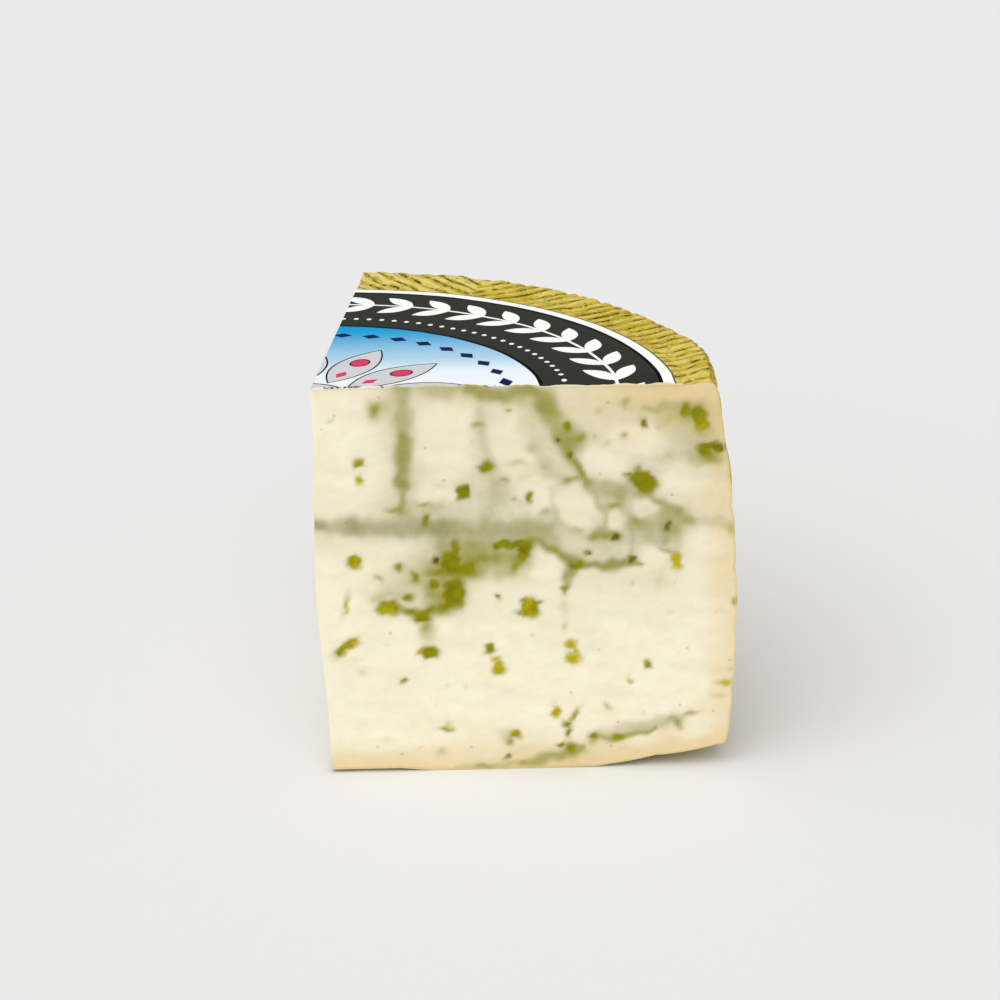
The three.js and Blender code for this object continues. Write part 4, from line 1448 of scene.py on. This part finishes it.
class OBJECT_OT_cheese_torn_edge(Operator):
    """Builds the lip and the crumbs along the upper edge of the front cut"""

    bl_idname = "object.cheese_torn_edge"
    bl_label = "Torn Edge"

    def execute(self, context):
        scene = context.scene
        positions, faces, fields, slots = build_torn_edge(form_of(context))
        materials = [paste_finish(scene.paste_colours), shred_finish(scene.rind_colours)]
        piece = mesh_object("torn_edge", positions, faces, fields, slots, materials)
        place_piece(piece, "cheese")
        return {"FINISHED"}


class OBJECT_OT_cheese_stage(Operator):
    """Sets up the floor, the soft light and the camera"""

    bl_idname = "object.cheese_stage"
    bl_label = "Stage"

    def execute(self, context):
        settings = context.scene.cheese_stage
        lay_floor(settings)
        light_stage(context.scene, settings)
        place_camera(context.scene, settings)
        return {"FINISHED"}


FLOOR_HALF = 6.0  # metres
SENSOR_WIDTH = 36  # millimetres


def lay_floor(settings):
    """A plain pale floor, wide enough to fill the picture."""
    corners = np.array([(-1, -1, 0), (1, -1, 0), (1, 1, 0), (-1, 1, 0)]) * FLOOR_HALF
    finish = Finish("floor", {
        "Base Color": (*settings.floor_colour, 1),
        "Roughness": 0.9,
        "Specular IOR Level": 0.0,
    })
    floor = mesh_object("floor", corners, [[0, 1, 2, 3]], materials=[finish.material])


def light_stage(scene, settings):
    """Light from all round and one wide soft light from the front left."""
    world = bpy.data.worlds.new("studio")
    scene.world = world
    world.use_nodes = True
    background = world.node_tree.nodes["Background"]
    background.inputs["Color"].default_value = (1, 1, 1, 1)
    background.inputs["Strength"].default_value = settings.world_light
    lamp = bpy.data.lights.new("key", "SUN")
    lamp.energy = settings.key_light
    lamp.angle = settings.key_soft
    key = bpy.data.objects.new("key", lamp)
    key.rotation_euler = (math.pi / 2 - settings.key_rise, 0, -settings.key_turn)
    scene.collection.objects.link(key)
    scene.view_settings.view_transform = "Standard"
    scene.view_settings.look = "None"


def place_camera(scene, settings):
    """The camera at the photograph's angle."""
    turn, rise = settings.turn, settings.rise
    level = math.cos(rise)
    back = Vector((math.sin(turn) * level, -math.cos(turn) * level, math.sin(rise)))
    right = Vector((math.cos(turn), math.sin(turn), 0))
    up = back.cross(right)
    cosine, sine = math.cos(settings.roll), math.sin(settings.roll)
    right, up = cosine * right + sine * up, cosine * up - sine * right
    lens = bpy.data.cameras.new("camera")
    lens.lens = settings.lens
    lens.sensor_width = SENSOR_WIDTH
    camera = bpy.data.objects.new("camera", lens)
    target = AXIS + Vector((settings.look_along, 0, settings.look_height))
    camera.matrix_world = Matrix.LocRotScale(
        target + settings.distance * back, Matrix((right, up, back)).transposed(), None)
    scene.collection.objects.link(camera)
    scene.camera = camera


class VIEW3D_PT_cheese(Panel):
    """Lists the settings and the steps"""

    bl_idname = "VIEW3D_PT_cheese"
    bl_label = "Sheep Cheese"
    bl_space_type = "VIEW_3D"
    bl_region_type = "UI"
    bl_category = "Cheese"

    def draw(self, context):
        for operator in OPERATORS:
            self.layout.operator(operator.bl_idname)
        for name, group in GROUPS.items():
            column = self.layout.column(heading=name)
            for field in group.__annotations__:
                column.prop(getattr(context.scene, name), field)


GROUPS = {
    "cheese_wheel": WheelSizes,
    "cheese_print": PrintSizes,
    "paste_colours": PasteColours,
    "rind_colours": RindColours,
    "cheese_label": LabelSizes,
    "label_colours": LabelColours,
    "cheese_stage": StageSettings,
}
OPERATORS = (
    OBJECT_OT_cheese_stage,
    OBJECT_OT_cheese_wedge,
    OBJECT_OT_cheese_label,
    OBJECT_OT_cheese_torn_edge,
)
CLASSES = (*GROUPS.values(), *OPERATORS, VIEW3D_PT_cheese)


def register():
    """Registers the classes and gives the scene its settings."""
    for kind in CLASSES:
        bpy.utils.register_class(kind)
    for name, group in GROUPS.items():
        setattr(bpy.types.Scene, name, PointerProperty(type=group))


def unregister():
    """Takes the settings and the classes away again."""
    for name in GROUPS:
        delattr(bpy.types.Scene, name)
    for kind in reversed(CLASSES):
        bpy.utils.unregister_class(kind)


def main():
    """Builds every piece."""
    register()
    bpy.ops.object.cheese_stage()
    bpy.ops.object.cheese_wedge()
    bpy.ops.object.cheese_label()
    bpy.ops.object.cheese_torn_edge()


if __name__ == "__main__":
    main()
